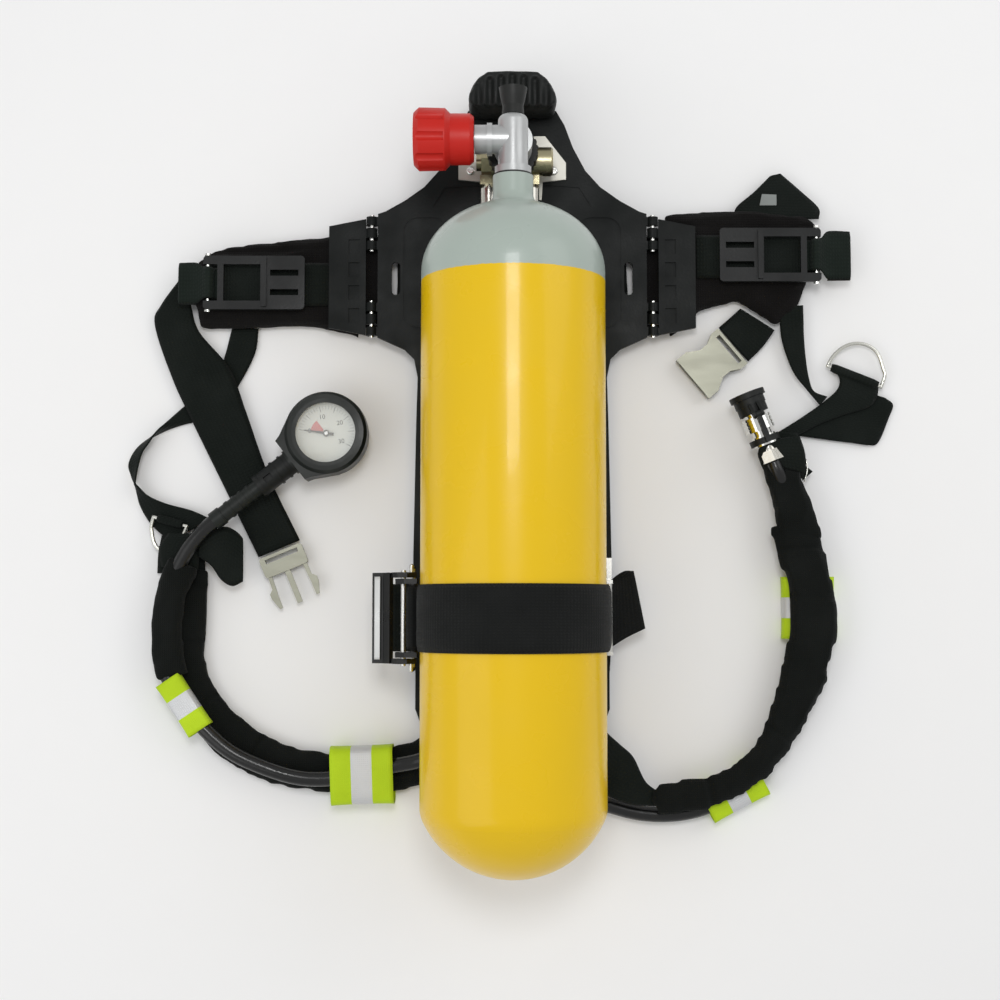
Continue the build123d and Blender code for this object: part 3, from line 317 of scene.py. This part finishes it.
# ---------------------------------------------------------------- mesh helpers
def new_object(name, mesh, look, body, smooth=True):
    """Links a mesh, gives it its material and fixes it to a body."""
    obj = bpy.data.objects.new(name, mesh)
    SCENE.collection.objects.link(obj)
    mesh.materials.append(M[look])
    if smooth:
        for face in mesh.polygons:
            face.use_smooth = True
    if body:
        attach(obj, body)
    return obj


def smooth_path(points, per=8):
    """A Catmull-Rom curve through the points, in metres."""
    pts = [Vector(p) * MM for p in points]
    if len(pts) == 2:
        return [pts[0].lerp(pts[1], i / per) for i in range(per + 1)]
    ends = [2 * pts[0] - pts[1]] + pts + [2 * pts[-1] - pts[-2]]
    out = []
    for a, b, c, d in zip(ends, ends[1:], ends[2:], ends[3:]):
        for step in range(per):
            t = step / per
            out.append(0.5 * ((2 * b) + (c - a) * t + (2 * a - 5 * b + 4 * c - d) * t * t
                              + (3 * b - a - 3 * c + d) * t ** 3))
    out.append(pts[-1])
    return out


def lift(points, z):
    """Plan points at one height; points that carry their own height keep it."""
    return [p if len(p) == 3 else (p[0], p[1], z) for p in points]


def web(name, edge_a, edge_b, z=0.0, thick=2.0, body="pack_frame", look="webbing", per=8,
        across=10, ripple=0.35):
    """Webbing lofted between its two edges, with rounded selvedges and slight ripples."""
    a = smooth_path(lift(edge_a, z), per)
    b = smooth_path(lift(edge_b, z), per)
    mids = [(p + q) / 2 for p, q in zip(a, b)]
    verts, uvs, along, last = [], [], 0.0, None
    ring = 2 * across
    for row, (p, q) in enumerate(zip(a, b)):
        ahead = mids[min(row + 1, len(mids) - 1)] - mids[max(row - 1, 0)]
        side = q - p
        up = side.cross(ahead).normalized()
        if last is None and up.z < 0 or last is not None and up.dot(last) < 0:
            up.negate()
        last = up
        if row:
            along += (mids[row] - mids[row - 1]).length
        for k in range(ring):
            top = k <= across
            s = (k if top else ring - k) / across
            full = (1 - abs(2 * s - 1) ** 6) ** 0.5
            point = p.lerp(q, s)
            wave = noise.noise(point * 38 + Vector((len(name), 0, 0))) * ripple * MM
            half = thick / 2 * MM * (0.25 + 0.75 * full)
            verts.append(point + up * (wave + (half if top else -half)))
            uvs.append((along, s * side.length))
    faces = []
    for row in range(len(a) - 1):
        for k in range(ring):
            n = (k + 1) % ring
            faces.append((row * ring + k, row * ring + n, (row + 1) * ring + n, (row + 1) * ring + k))
    faces.append(tuple(range(ring)))
    faces.append(tuple((len(a) - 1) * ring + k for k in reversed(range(ring))))
    mesh = bpy.data.meshes.new(name)
    mesh.from_pydata(verts, [], faces)
    layer = mesh.uv_layers.new(name="weave")
    for loop in mesh.loops:
        layer.data[loop.index].uv = uvs[loop.vertex_index]
    fix_normals(mesh)
    return new_object(name, mesh, look, body)


def fix_normals(mesh):
    """Faces all point outward."""
    work = bmesh.new()
    work.from_mesh(mesh)
    bmesh.ops.recalc_face_normals(work, faces=work.faces)
    work.to_mesh(mesh)
    work.free()


def tube(name, points, radius, look, body="pack_frame", closed=False, per=6, sides=10):
    """A round cord or wire along a smooth path."""
    path = smooth_path(list(points) + [points[0]] if closed else points, per)
    if closed:
        path.pop()
    count = len(path)
    verts, faces = [], []
    normal = None
    for i, point in enumerate(path):
        if closed:
            ahead = (path[(i + 1) % count] - path[i - 1]).normalized()
        else:
            ahead = (path[min(i + 1, count - 1)] - path[max(i - 1, 0)]).normalized()
        if normal is None:
            normal = ahead.orthogonal().normalized()
        normal = (normal - ahead * normal.dot(ahead)).normalized()
        other = ahead.cross(normal)
        for k in range(sides):
            turn = 2 * math.pi * k / sides
            offset = normal * math.cos(turn) + other * math.sin(turn)
            verts.append(point + offset * radius * MM)
    rows = count if closed else count - 1
    for row in range(rows):
        nxt = (row + 1) % count
        for k in range(sides):
            n = (k + 1) % sides
            faces.append((row * sides + k, row * sides + n, nxt * sides + n, nxt * sides + k))
    if not closed:
        faces.append(tuple(range(sides)))
        faces.append(tuple((count - 1) * sides + k for k in reversed(range(sides))))
    mesh = bpy.data.meshes.new(name)
    mesh.from_pydata(verts, [], faces)
    fix_normals(mesh)
    return new_object(name, mesh, look, body)


def prism_mesh(name, outline, low, high):
    """A closed prism over a plan outline."""
    work = bmesh.new()
    bottom = [work.verts.new((x * MM, y * MM, low * MM)) for x, y in outline]
    face = work.faces.new(bottom)
    grown = bmesh.ops.extrude_face_region(work, geom=[face])
    for item in grown["geom"]:
        if isinstance(item, bmesh.types.BMVert):
            item.co.z = high * MM
    bmesh.ops.recalc_face_normals(work, faces=work.faces)
    mesh = bpy.data.meshes.new(name)
    work.to_mesh(mesh)
    work.free()
    return mesh


def plate(name, outline, low, high, look, body="pack_frame", bevel=0.5):
    """A small flat part with softened edges."""
    obj = new_object(name, prism_mesh(name, outline, low, high), look, None, smooth=False)
    edge = obj.modifiers.new("edge", "BEVEL")
    edge.width = bevel * MM
    edge.segments = 3
    apply_modifiers(obj)
    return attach(obj, body)


def apply_modifiers(obj):
    """Bakes every modifier into the mesh."""
    graph = bpy.context.evaluated_depsgraph_get()
    graph.update()
    baked = bpy.data.meshes.new_from_object(obj.evaluated_get(graph))
    obj.modifiers.clear()
    obj.data = baked


def distance_to(point, line):
    """Distance in plan from a point to a polyline."""
    best = 1e9
    for a, b in zip(line, line[1:]):
        d = b - a
        t = max(0.0, min(1.0, (point - a).dot(d) / max(d.length_squared, 1e-12)))
        best = min(best, (point - a - d * t).length)
    return best


def inset(outline, amount):
    """The outline moved inwards by an amount."""
    centre = sum(((a[0] * b[1] - b[0] * a[1]) for a, b in zip(outline, outline[1:] + outline[:1])))
    sign = 1 if centre > 0 else -1
    out = []
    count = len(outline)
    for i, (x, y) in enumerate(outline):
        x0, y0 = outline[i - 1]
        x1, y1 = outline[(i + 1) % count]
        dx, dy = x1 - x0, y1 - y0
        size = math.hypot(dx, dy) or 1
        out.append((x - sign * dy / size * amount, y + sign * dx / size * amount))
    return out


def swell(obj, cap):
    """Lets cloth pressure push a panel outwards, no point by more than the cap."""
    rest = [v.co.copy() for v in obj.data.vertices]
    cloth = obj.modifiers.new("swell", "CLOTH")
    cloth.settings.use_pressure = True
    cloth.settings.uniform_pressure_force = 4.0
    cloth.settings.effector_weights.gravity = 0
    cloth.settings.quality = 5
    for step in range(1, 21):
        SCENE.frame_set(step)
    graph = bpy.context.evaluated_depsgraph_get()
    swollen = obj.evaluated_get(graph).to_mesh()
    moved = [v.co.copy() for v in swollen.vertices]
    obj.evaluated_get(graph).to_mesh_clear()
    obj.modifiers.clear()
    SCENE.frame_set(1)
    for vertex, start, end in zip(obj.data.vertices, rest, moved):
        shift = end - start
        if shift.length > cap * MM:
            shift = shift.normalized() * cap * MM
        vertex.co = start + shift


def sew(obj, low, high, seams, groove, crumple):
    """Presses creases and sewn lines into a panel and keeps it between its two heights."""
    middle = (low + high) / 2 * MM
    lines = [[Vector((x * MM, y * MM)) for x, y in seam] for seam in seams]
    normals = [v.normal.copy() for v in obj.data.vertices]
    placed = []
    for vertex, normal in zip(obj.data.vertices, normals):
        co = vertex.co.copy()
        fold = noise.noise(co * 55) + 0.5 * noise.noise(co * 130 + Vector((3, 1, 2)))
        co += normal * fold * crumple * MM
        plan = Vector((co.x, co.y))
        for line in lines:
            gap = distance_to(plan, line) / (4.5 * MM)
            if gap < 1:
                pull = groove * MM * (1 - gap * gap) ** 2
                co.z += -pull if co.z > middle else pull * 0.4
        co.z = min(max(co.z, low * MM), high * MM)
        placed.extend(co)
    obj.data.vertices.foreach_set("co", placed)
    obj.data.update()


def pillow(name, outline, low, high, body="pack_frame", look="pad", seams=(), cap=4.0, voxel=4.5,
           crumple=0.7, groove=2.2):
    """A padded panel: a slightly small prism that is swelled, refined and sewn."""
    shape = prism_mesh(name, inset(outline, 1.6), low + 2.0, high - 2.0)
    obj = new_object(name, shape, look, None)
    grid = obj.modifiers.new("grid", "REMESH")
    grid.mode = "VOXEL"
    grid.voxel_size = voxel * MM
    apply_modifiers(obj)
    swell(obj, cap)
    detail = obj.modifiers.new("detail", "SUBSURF")
    detail.levels = 2
    detail.render_levels = 2
    apply_modifiers(obj)
    sew(obj, low, high, seams, groove, crumple)
    obj.data.materials.clear()
    obj.data.materials.append(M[look])
    for face in obj.data.polygons:
        face.use_smooth = True
    if body:
        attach(obj, body)
    return obj


def ribbon_outline(points, width):
    """The plan outline of an even strip along a smooth curve, in millimetres."""
    path = [p / MM for p in smooth_path([(x, y, 0) for x, y in points], 4)]
    left, right = [], []
    for i, p in enumerate(path):
        ahead = (path[min(i + 1, len(path) - 1)] - path[max(i - 1, 0)]).normalized()
        side = Vector((-ahead.y, ahead.x, 0)) * width / 2
        left.append(((p + side).x, (p + side).y))
        right.append(((p - side).x, (p - side).y))
    return left + right[::-1]


def frame_at(points, fraction):
    """A point and the unit side vector of a plan curve at a fraction of its length."""
    path = [p / MM for p in smooth_path([(x, y, 0) for x, y in points], 12)]
    index = int(fraction * (len(path) - 2))
    ahead = (path[index + 1] - path[index]).normalized()
    return path[index], Vector((-ahead.y, ahead.x, 0))


def cross_seams(points, width, fractions, skew=0.0):
    """Seam lines straight across a strap."""
    seams = []
    for fraction in fractions:
        at, side = frame_at(points, fraction)
        reach = side * width * 0.6
        lean = Vector((side.y, -side.x, 0)) * skew
        seams.append([((at - reach - lean).x, (at - reach - lean).y),
                      ((at + reach + lean).x, (at + reach + lean).y)])
    return seams


SLEEVE_WALL = 1.1


def sleeve(name, centre, direction, width, low, high, length=50):
    """A flattened fabric tube round a strap: rounded sections along one direction."""
    turn = math.radians(direction)
    ahead = Vector((math.cos(turn), math.sin(turn), 0))
    side = Vector((-ahead.y, ahead.x, 0))
    origin = Vector((*centre, (low + high) / 2)) * MM
    rows, around = 14, 40
    side_power, top_power = 0.32, 0.6  # a section with flat faces and rounded edges
    verts, uvs = [], []
    for shrink in (0.0, SLEEVE_WALL):
        for row in range(rows + 1):
            s = row / rows
            stretch = (s - 0.5) * length * MM
            flare = 0.5 * (abs(2 * s - 1) ** 4)
            for k in range(around):
                angle = 2 * math.pi * k / around
                cx, cz = math.cos(angle), math.sin(angle)
                x = math.copysign(abs(cx) ** side_power, cx) * (width / 2 - shrink + flare) * MM
                z = math.copysign(abs(cz) ** top_power, cz) * ((high - low) / 2 - shrink) * MM
                point = origin + ahead * stretch + side * x
                point.z += z
                point += Vector((0, 0, 1)) * noise.noise(point * 60) * 0.4 * MM
                verts.append(point)
                uvs.append((stretch, x))
    faces = []
    block = (rows + 1) * around
    for layer in (0, 1):
        base = layer * block
        for row in range(rows):
            for k in range(around):
                n = (k + 1) % around
                faces.append((base + row * around + k, base + row * around + n,
                              base + (row + 1) * around + n, base + (row + 1) * around + k))
    for row in (0, rows):
        for k in range(around):
            n = (k + 1) % around
            faces.append((row * around + k, row * around + n, block + row * around + n,
                          block + row * around + k))
    mesh = bpy.data.meshes.new(name)
    mesh.from_pydata(verts, [], faces)
    layer = mesh.uv_layers.new(name="stripes")
    for loop in mesh.loops:
        layer.data[loop.index].uv = uvs[loop.vertex_index]
    fix_normals(mesh)
    return new_object(name, mesh, "vis", "pack_frame")


dress_cad()

# ---------------------------------------------------------------- pads
LEFT_STRAP = [
    (-52, -268), (-76, -281), (-121, -287), (-163, -282), (-197, -272), (-226, -254), (-248, -231),
    (-262, -206), (-269, -178), (-270, -146), (-269, -117),
]
RIGHT_STRAP = [
    (82, -288), (103, -302), (143, -306), (179, -293), (212, -265), (232, -226), (242, -186),
    (244, -146), (240, -113), (236, -86),
]
RIGHT_PAD = [
    (113, -301), (118, -296), (147, -292), (168.5, -284), (188.5, -267), (199.5, -243), (210.7, -205),
    (217.5, -177), (220.5, -150), (219, -127), (214, -98), (210, -84), (244, -78), (252.5, -98),
    (260, -129), (263, -151), (261.7, -174), (250.4, -212.5), (230, -250.5), (203, -287), (176, -306),
    (150, -317), (118, -319), (112, -312),
]
LEFT_WING = [
    (-124, 157), (-170, 157), (-205, 153.5), (-236, 148), (-252, 141), (-263, 131), (-271, 120),
    (-268, 106), (-262, 88), (-256, 72), (-208, 72), (-170, 73), (-133, 67), (-124, 67),
]
RIGHT_WING = [
    (124, 174), (166, 178), (200, 180), (240, 176), (254, 165), (256, 160), (251, 137), (246, 114),
    (239, 92), (221, 76), (202, 85), (184, 94), (154, 86), (124, 69),
]

left_pad = pillow("left_shoulder_padding", ribbon_outline(LEFT_STRAP, 40), 1.8, 13.2,
                  seams=cross_seams(LEFT_STRAP, 40, (0.24, 0.44, 0.62, 0.8, 0.965)))
right_pad = pillow("right_shoulder_padding", inset(RIGHT_PAD, -3.2), 16.2, 28.2,
                   seams=cross_seams(RIGHT_STRAP, 40, (0.28, 0.48, 0.64, 0.80, 0.94), 3))
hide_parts("left_shoulder_pad")
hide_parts("right_shoulder_pad")
LEFT_COVER = [(-272, -210), (-276, -190), (-277, -165), (-274, -140), (-264, -114)]
pillow("left_hose_cover", ribbon_outline(LEFT_COVER, 29), 12.6, 29.2, cap=3, voxel=4, crumple=1.0)
left_wing = pillow("left_wing_padding", LEFT_WING, 0, 13.8, body="left_wing", look="lining",
                   seams=[[(-133, 92), (-262, 86)], [(-133, 143), (-250, 138)]])
right_wing = pillow("right_wing_padding", RIGHT_WING, 0, 13.8, body="right_wing", look="lining",
                    seams=[[(133, 100), (244, 108)], [(133, 161), (254, 160)]])
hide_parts("left_wing_pad")
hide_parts("right_wing_pad")
HINGE_PADS = {}
for side, word in ((-1, "left"), (1, "right")):
    flap = [(side * x, y) for x, y in ((98, 76), (131, 76), (131, 156), (98, 156))]
    HINGE_PADS[word] = pillow(f"{word}_hinge_padding", flap, 0, 10.4, body=None, look="lining",
                              voxel=4, cap=1.5)
BUMPER = [(-12, 279), (12, 279), (21, 277), (28, 273), (34, 265), (37, 256), (37, 249), (33, 246.5),
          (-33, 246.5), (-37, 249), (-37, 256), (-34, 265), (-28, 273), (-21, 277)]
LUMBAR = [(-100, 84), (-92, 73), (-60, 72), (60, 72), (92, 73), (100, 84), (100, 154), (92, 165),
          (60, 166), (-60, 166), (-92, 165), (-100, 154)]
bumper = pillow("bumper_moulding", BUMPER, 18.1, 59.8, look="rubber", voxel=3.4, crumple=0.5,
                groove=3.4, cap=2.5,
                seams=[[(x, 249), (x, 272 - abs(x) * 0.22)] for x in (-27, -18, -9, 0, 9, 18, 27)])
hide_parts("end_bumper")
FOOT = [(-34, 256.5), (0, 262.5), (34, 256.5), (30, 268), (12, 275), (-12, 275), (-30, 268)]
plate("bumper_foot", FOOT, 4.2, 18, "rubber", bevel=1.5)
lumbar = pillow("lumbar_padding", LUMBAR, 0, 13.8, voxel=6,
                seams=[[(-40, 72), (-40, 166)], [(40, 72), (40, 166)]])
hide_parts("lumbar_pad")

# ---------------------------------------------------------------- webbing
web("left_wing_web", [(-150, 130), (-252, 130)], [(-150, 94), (-252, 94)], 15.2, body="left_wing")
web("right_wing_web", [(151, 153), (252, 153)], [(151, 117), (252, 117)], 15.2, body="right_wing")


def fold_tab(name, side, y0, y1, reach, flare, body):
    """Webbing folded round an adjuster's pin, doubled back under itself and flared past the pin."""
    path = [(238, 17.6), (243.4, 18.8), (244.4, 22), (246, 25), (249.4, 25.2), (252.4, 22.6),
            (258, 20.4), (reach - 3, 19.8), (reach, 18.4), (reach - 2, 16.4), (258, 15.4)]
    low, high = [], []
    for x, z in path:
        spread = flare * max(0, min(1, (x - 251) / 6))
        low.append((side * x, y0 - spread, z))
        high.append((side * x, y1 + spread, z))
    return web(name, low, high, body=body, look="green", thick=1.5, ripple=0.15)


fold_tab("left_adjuster_tab", -1, 99, 125, 272, 4, "left_wing")
fold_tab("right_adjuster_tab", 1, 122, 148, 276, 7, "right_wing")

belt = web("left_waist_belt",
           [(-272, 121), (-289, 97), (-294, 80), (-279, 36), (-262, 0), (-232, -60), (-206.5, -111)],
           [(-268, 111), (-264, 95), (-257, 74), (-232, 44), (-218, 8), (-199, -44), (-173, -97)],
           6.3, body="left_wing")
pull = web("left_pull_strap",
           [(-231, 78, 2.4), (-240, 46, 2.4), (-256, 24, 2.4), (-269, 13.5, 3.4), (-281, 1.5, 8),
            (-288.4, -6.8, 13), (-295, -17, 13), (-301.4, -26.6, 12), (-305, -40, 12), (-306.8, -51.6, 14)],
           [(-209, 78, 2.4), (-213, 54, 2.4), (-234, 16, 2.4), (-251, -3, 2.2), (-262.5, -0.2, 1.8),
            (-287.6, -8.2, 1.6), (-306.5, -19.4, 1.8), (-314.9, -33.4, 2), (-312.6, -44.4, 2),
            (-308.4, -52.4, 2)],
           body=None, thick=1.6)
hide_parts("left_wing_webbing")
web("right_waist_belt", [(216, 76), (206, 62), (194, 50)], [(188, 94), (178, 85), (170, 78)], 5.3,
    body="right_wing")
right_pull = web("right_pull_strap",
                 [(218.5, 94), (219.5, 82), (220.5, 70), (224, 56), (231, 39), (241, 26), (251.5, 13.2)],
                 [(239, 96), (239.2, 84), (239.4, 70), (240.6, 52), (243, 36), (247, 25), (258, 20.4)],
                 9.2, body=None)
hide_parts("right_wing_webbing")

end = web("left_strap_end",
          [(-308.4, -52.4, 2), (-305.6, -66, 2.6), (-300, -77, 4), (-292, -87, 5.9), (-280, -97, 5.9)],
          [(-306.8, -51.6, 14), (-296, -61, 9), (-281, -67.5, 6.6), (-262, -72.6, 5.9),
           (-244, -80.5, 5.9)])
web("left_strap_link", [(-286, -93), (-288.5, -108), (-289, -124)],
    [(-246, -90), (-250, -106), (-250, -124)], 5.4)
web("left_strap_knot", [(-279, -92), (-286, -103), (-284, -119)],
    [(-243, -92), (-252, -106), (-254, -122)], 14.8, ripple=0.9, thick=2.4)
web("left_strap_tail", [(-254, -97), (-243, -90), (-232, -86.5), (-223, -90.4), (-217.6, -96)],
    [(-253, -111), (-243, -118.5), (-235, -129.5), (-226, -134.6), (-217.3, -131)], 17.2)
web("right_ring_tab", [(264.5, 42.5), (268.6, 35), (266, 26), (252, 14), (234, 1.6), (215, -10)],
    [(300.6, 28), (299, 20), (292, 12), (270, 5), (250, -3), (229, -14)], 6.2)
web("right_corner_fold", [(294, 24), (283, 13), (262, 4), (240, -5), (229, -9)],
    [(307, 20), (313, 14.5), (309.5, 4), (300, -17), (291, -19)], 3.2, across=14)
web("right_fold_under", [(262, 6), (248, -2), (231, -9)],
    [(296, -18.4), (272, -16.4), (233, -11)], 3.0)
web("right_strap_base", [(215, -9), (208, -20), (203, -36)], [(232, -10), (236, -26), (237, -48)], 13.6)
web("right_strap_wrap", [(200, -35, 28), (197, -27, 31), (201, -19, 34)],
    [(236, -44, 27), (235, -29, 31), (231, -14, 30)], ripple=1.4, thick=2.2, across=14)
web("right_slider_corner", [(236, -33), (240, -38)], [(236, -49), (244.4, -41.5)], 12.6)
tube("right_slider_wire", [(238.2, -32, 17.6), (238.8, -41, 18.2), (236.6, -50, 17.8)], 0.6,
     look="wire")
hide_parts("shoulder_webbing")


def ring_loop(name, ring, radius, body="pack_frame"):
    """A strap's end folded round a ring's bar."""
    (x0, y0), (x1, y1), z = ring
    size = math.hypot(x1 - x0, y1 - y0)
    across = (-(y1 - y0) / size, (x1 - x0) / size)
    edges = []
    for x, y in ((x0, y0), (x1, y1)):
        edge = []
        for step in range(9):
            angle = math.radians(-110 + step * 40)
            reach = radius * math.cos(angle)
            edge.append((x + across[0] * reach, y + across[1] * reach,
                         z + radius * math.sin(angle)))
        edges.append(edge)
    return web(name, edges[0], edges[1], body=body, thick=1.1, ripple=0, per=4)


ring_loop("left_ring_loop", ((-289, -79), (-268, -85), 9), 2.7)
ring_loop("right_ring_loop", ((262, 45), (300, 30), 6), 3.3)

web("left_anchor_web", [(-66, -232), (-65, -246), (-62, -256), (-48, -266)],
    [(-34, -232), (-35, -246), (-36, -258), (-42, -266)], 19, thick=1.4)
web("right_anchor_web", [(44, -232), (44, -254), (50, -276), (66, -296), (92, -308), (116, -310)],
    [(64, -232), (74.5, -250), (86, -261), (96.5, -271), (106, -290), (117, -299)], 19.5)

# ---------------------------------------------------------------- cylinder band
ARC = [(71.7 * math.cos(math.radians(a)), 105 + 71.7 * math.sin(math.radians(a)))
       for a in range(187, -1, -11)]
BAND = [(-79, 84), (-80.6, 88), (-77, 92.4), (-72.2, 92)] + ARC[1:] + [
    (73, 88), (76, 60), (76.5, 38), (76, 28)]
BAND_LOW = [(x, -185, z) for x, z in BAND] + [(80, -183, 24.6), (92, -175.5, 26), (106, -168.6, 28)]
BAND_HIGH = [(x, -135, z) for x, z in BAND] + [(80, -129, 24.6), (89, -122.8, 26), (97, -122.6, 28)]
band = web("cylinder_strap", BAND_LOW, BAND_HIGH, thick=2.0, look="band", per=4, ripple=0.1)
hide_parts("cylinder_band")

# ---------------------------------------------------------------- reflective sleeves
hose_sleeve = sleeve("left_hose_sleeve", (-262.5, -229.5), 124, 21, 13.4, 28.4, length=48)
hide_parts("reflective_sleeves")
sleeve("left_pad_sleeve", (-120, -285.4), 2, 46, 0.2, 28.8)
sleeve("right_lower_sleeve", (177.6, -298.8), 27.4, 31, 0, 16.2)
sleeve("right_upper_sleeve", (239.5, -152), 90, 42, 0, 16.2)

# ---------------------------------------------------------------- small trim
web("right_wing_fold", [(182, 170), (186, 179), (199, 190), (213, 204)],
    [(253, 168), (253, 177), (240, 190), (222, 206)], 8.5, body="right_wing", thick=3.0, ripple=0.8)
plate("right_wing_patch", [(204, 179), (218, 179), (218, 188), (206, 188.5)], 10.2, 10.9, "label",
      "right_wing", 0.2)


def eyelet(name, x, y, z):
    """A pressed brass ring in a strap's hole."""
    points = [(x + 5.2 * math.cos(math.radians(a)), y + 5.2 * math.sin(math.radians(a)), z)
              for a in range(0, 360, 45)]
    return tube(name, points, 1.3, look="brass", closed=True)


eyelet("left_eyelet", -54, -242, 20.0)
eyelet("right_eyelet", 66, -262, 20.9)


def lever_point(out, up, y):
    """A point on the band lever, by distance from its pivot and height above its plate."""
    turn = math.radians(219)
    return (-84 + out * math.cos(turn) + up * math.cos(turn - math.pi / 2), y,
            80 + out * math.sin(turn) + up * math.sin(turn - math.pi / 2))


web("latch_backing", [(-64, -187), (-98, -187)], [(-64, -133), (-98, -133)], 21.6, ripple=0)
STRIP_ROWS = (-192, -170, -150, -128)
web("lever_reflective_strip", [lever_point(27.5, 3.4, y) for y in STRIP_ROWS],
    [lever_point(22.5, 2.1, y) for y in STRIP_ROWS], body="band_lever", look="stripe",
    thick=0.5, ripple=0)

SHROUD = [
    (216, -100), (208.5, -74), (204, -50), (202, -38), (199, -35), (202, -31), (196, -29), (200, -24),
    (207, -18), (214, -16), (221, -14), (230, -15), (234, -27), (235, -47), (243, -72), (251.5, -98),
]
pillow("right_hose_shroud", inset(SHROUD, -2.0), 15, 29, seams=[[(203, -38), (236, -42)]], cap=3.0,
       crumple=1.3, voxel=4)

# ---------------------------------------------------------------- gauge face
GAUGE = Vector((-149.4, -12.3, 26.0))
DIAL_Z = GAUGE.z + 5.05
SCALE_START, SCALE_SWEEP = 172.0, 200
TICK_OUTER, TICK_MAJOR, TICK_MINOR, NUMBER_RING = 22.3, 17.5, 19.6, 13.6


def on_dial(angle, radius):
    """A plan point on the dial."""
    turn = math.radians(angle)
    return (GAUGE.x + radius * math.cos(turn), GAUGE.y + radius * math.sin(turn))


def sector(start, end, inner, outer, step=6.0):
    """The outline of a ring sector on the dial."""
    count = max(2, int(abs(end - start) / step))
    angles = [start + (end - start) * i / count for i in range(count + 1)]
    return [on_dial(a, outer) for a in angles] + [on_dial(a, inner) for a in reversed(angles)]


for index in range(31):
    angle = SCALE_START - index * SCALE_SWEEP / 30
    half, inner = (0.5, TICK_MAJOR) if index % 5 == 0 else (0.28, TICK_MINOR)
    outline = [on_dial(angle - half, TICK_OUTER), on_dial(angle + half, TICK_OUTER),
               on_dial(angle + half, inner), on_dial(angle - half, inner)]
    plate(f"dial_tick_{index:02d}", outline, DIAL_Z - 0.02, DIAL_Z + 0.12, "ink", "gauge_head",
          0.02)
for index, text in enumerate(("0", "10", "20", "30")):
    font = bpy.data.curves.new(f"dial_number_{index}", "FONT")
    font.body = text
    font.size = 5.2 * MM
    font.align_x = "CENTER"
    font.align_y = "CENTER"
    font.extrude = 0.05 * MM
    holder = bpy.data.objects.new("number_shape", font)
    x, y = on_dial(SCALE_START - index * SCALE_SWEEP / 3, NUMBER_RING)
    holder.location = (x * MM, y * MM, (DIAL_Z + 0.06) * MM)
    holder.rotation_euler = (0, 0, math.radians(8))
    SCENE.collection.objects.link(holder)
    graph = bpy.context.evaluated_depsgraph_get()
    shape = bpy.data.meshes.new_from_object(holder.evaluated_get(graph))
    shape.transform(holder.matrix_world)
    bpy.data.objects.remove(holder)
    new_object(f"dial_number_{index}", shape, "ink", "gauge_head", smooth=False)
plate("dial_red_zone", sector(170, 128, 3.4, 13), DIAL_Z - 0.02, DIAL_Z + 0.08, "danger",
      "gauge_head", 0.02)

hub = [on_dial(a, 1.5) for a in range(0, 360, 30)]
plate("needle_hub", hub, GAUGE.z + 7.5, GAUGE.z + 7.9, "stripe", "gauge_needle", 0.1)

# ---------------------------------------------------------------- stage, light and camera
bpy.ops.mesh.primitive_plane_add(size=8, location=(0, 0, -0.0005))
floor = bpy.context.object
floor.name = "floor"
floor.data.materials.append(surface("floor_paper", (0.9, 0.9, 0.9), 0.9, bump=0.02, shade=0.01))


def area_light(name, location, target, size, power):
    """A soft square light aimed at a point."""
    data = bpy.data.lights.new(name, "AREA")
    data.size = size
    data.energy = power
    lamp = bpy.data.objects.new(name, data)
    lamp.location = location
    lamp.rotation_euler = (Vector(target) - Vector(location)).to_track_quat("-Z", "Y").to_euler()
    SCENE.collection.objects.link(lamp)


area_light("key", (-0.02, 0.30, 1.7), (0, 0, 0), 0.42, 7)
area_light("fill", (-1.3, -0.6, 1.3), (0, -0.1, 0), 1.4, 6)
area_light("rim", (1.4, 0.8, 1.2), (0, 0, 0), 1.2, 5)
world = bpy.data.worlds.new("room")
SCENE.world = world
world.use_nodes = True
world.node_tree.nodes["Background"].inputs["Color"].default_value = (1, 1, 1, 1)
world.node_tree.nodes["Background"].inputs["Strength"].default_value = 0.62
SCENE.view_settings.view_transform = "Standard"

camera_data = bpy.data.cameras.new("main_view")
camera_data.sensor_width = 36
camera_data.lens = 57.4
camera = bpy.data.objects.new("main_view", camera_data)
camera.location = (-0.010, -0.155, 1.305)
camera.rotation_euler = (math.radians(4), 0, 0)
SCENE.collection.objects.link(camera)
SCENE.camera = camera

# ---------------------------------------------------------------- straps that cross a hinge
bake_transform(HINGE_PADS["left"])
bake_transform(HINGE_PADS["right"])
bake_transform(pull)
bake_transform(right_pull)
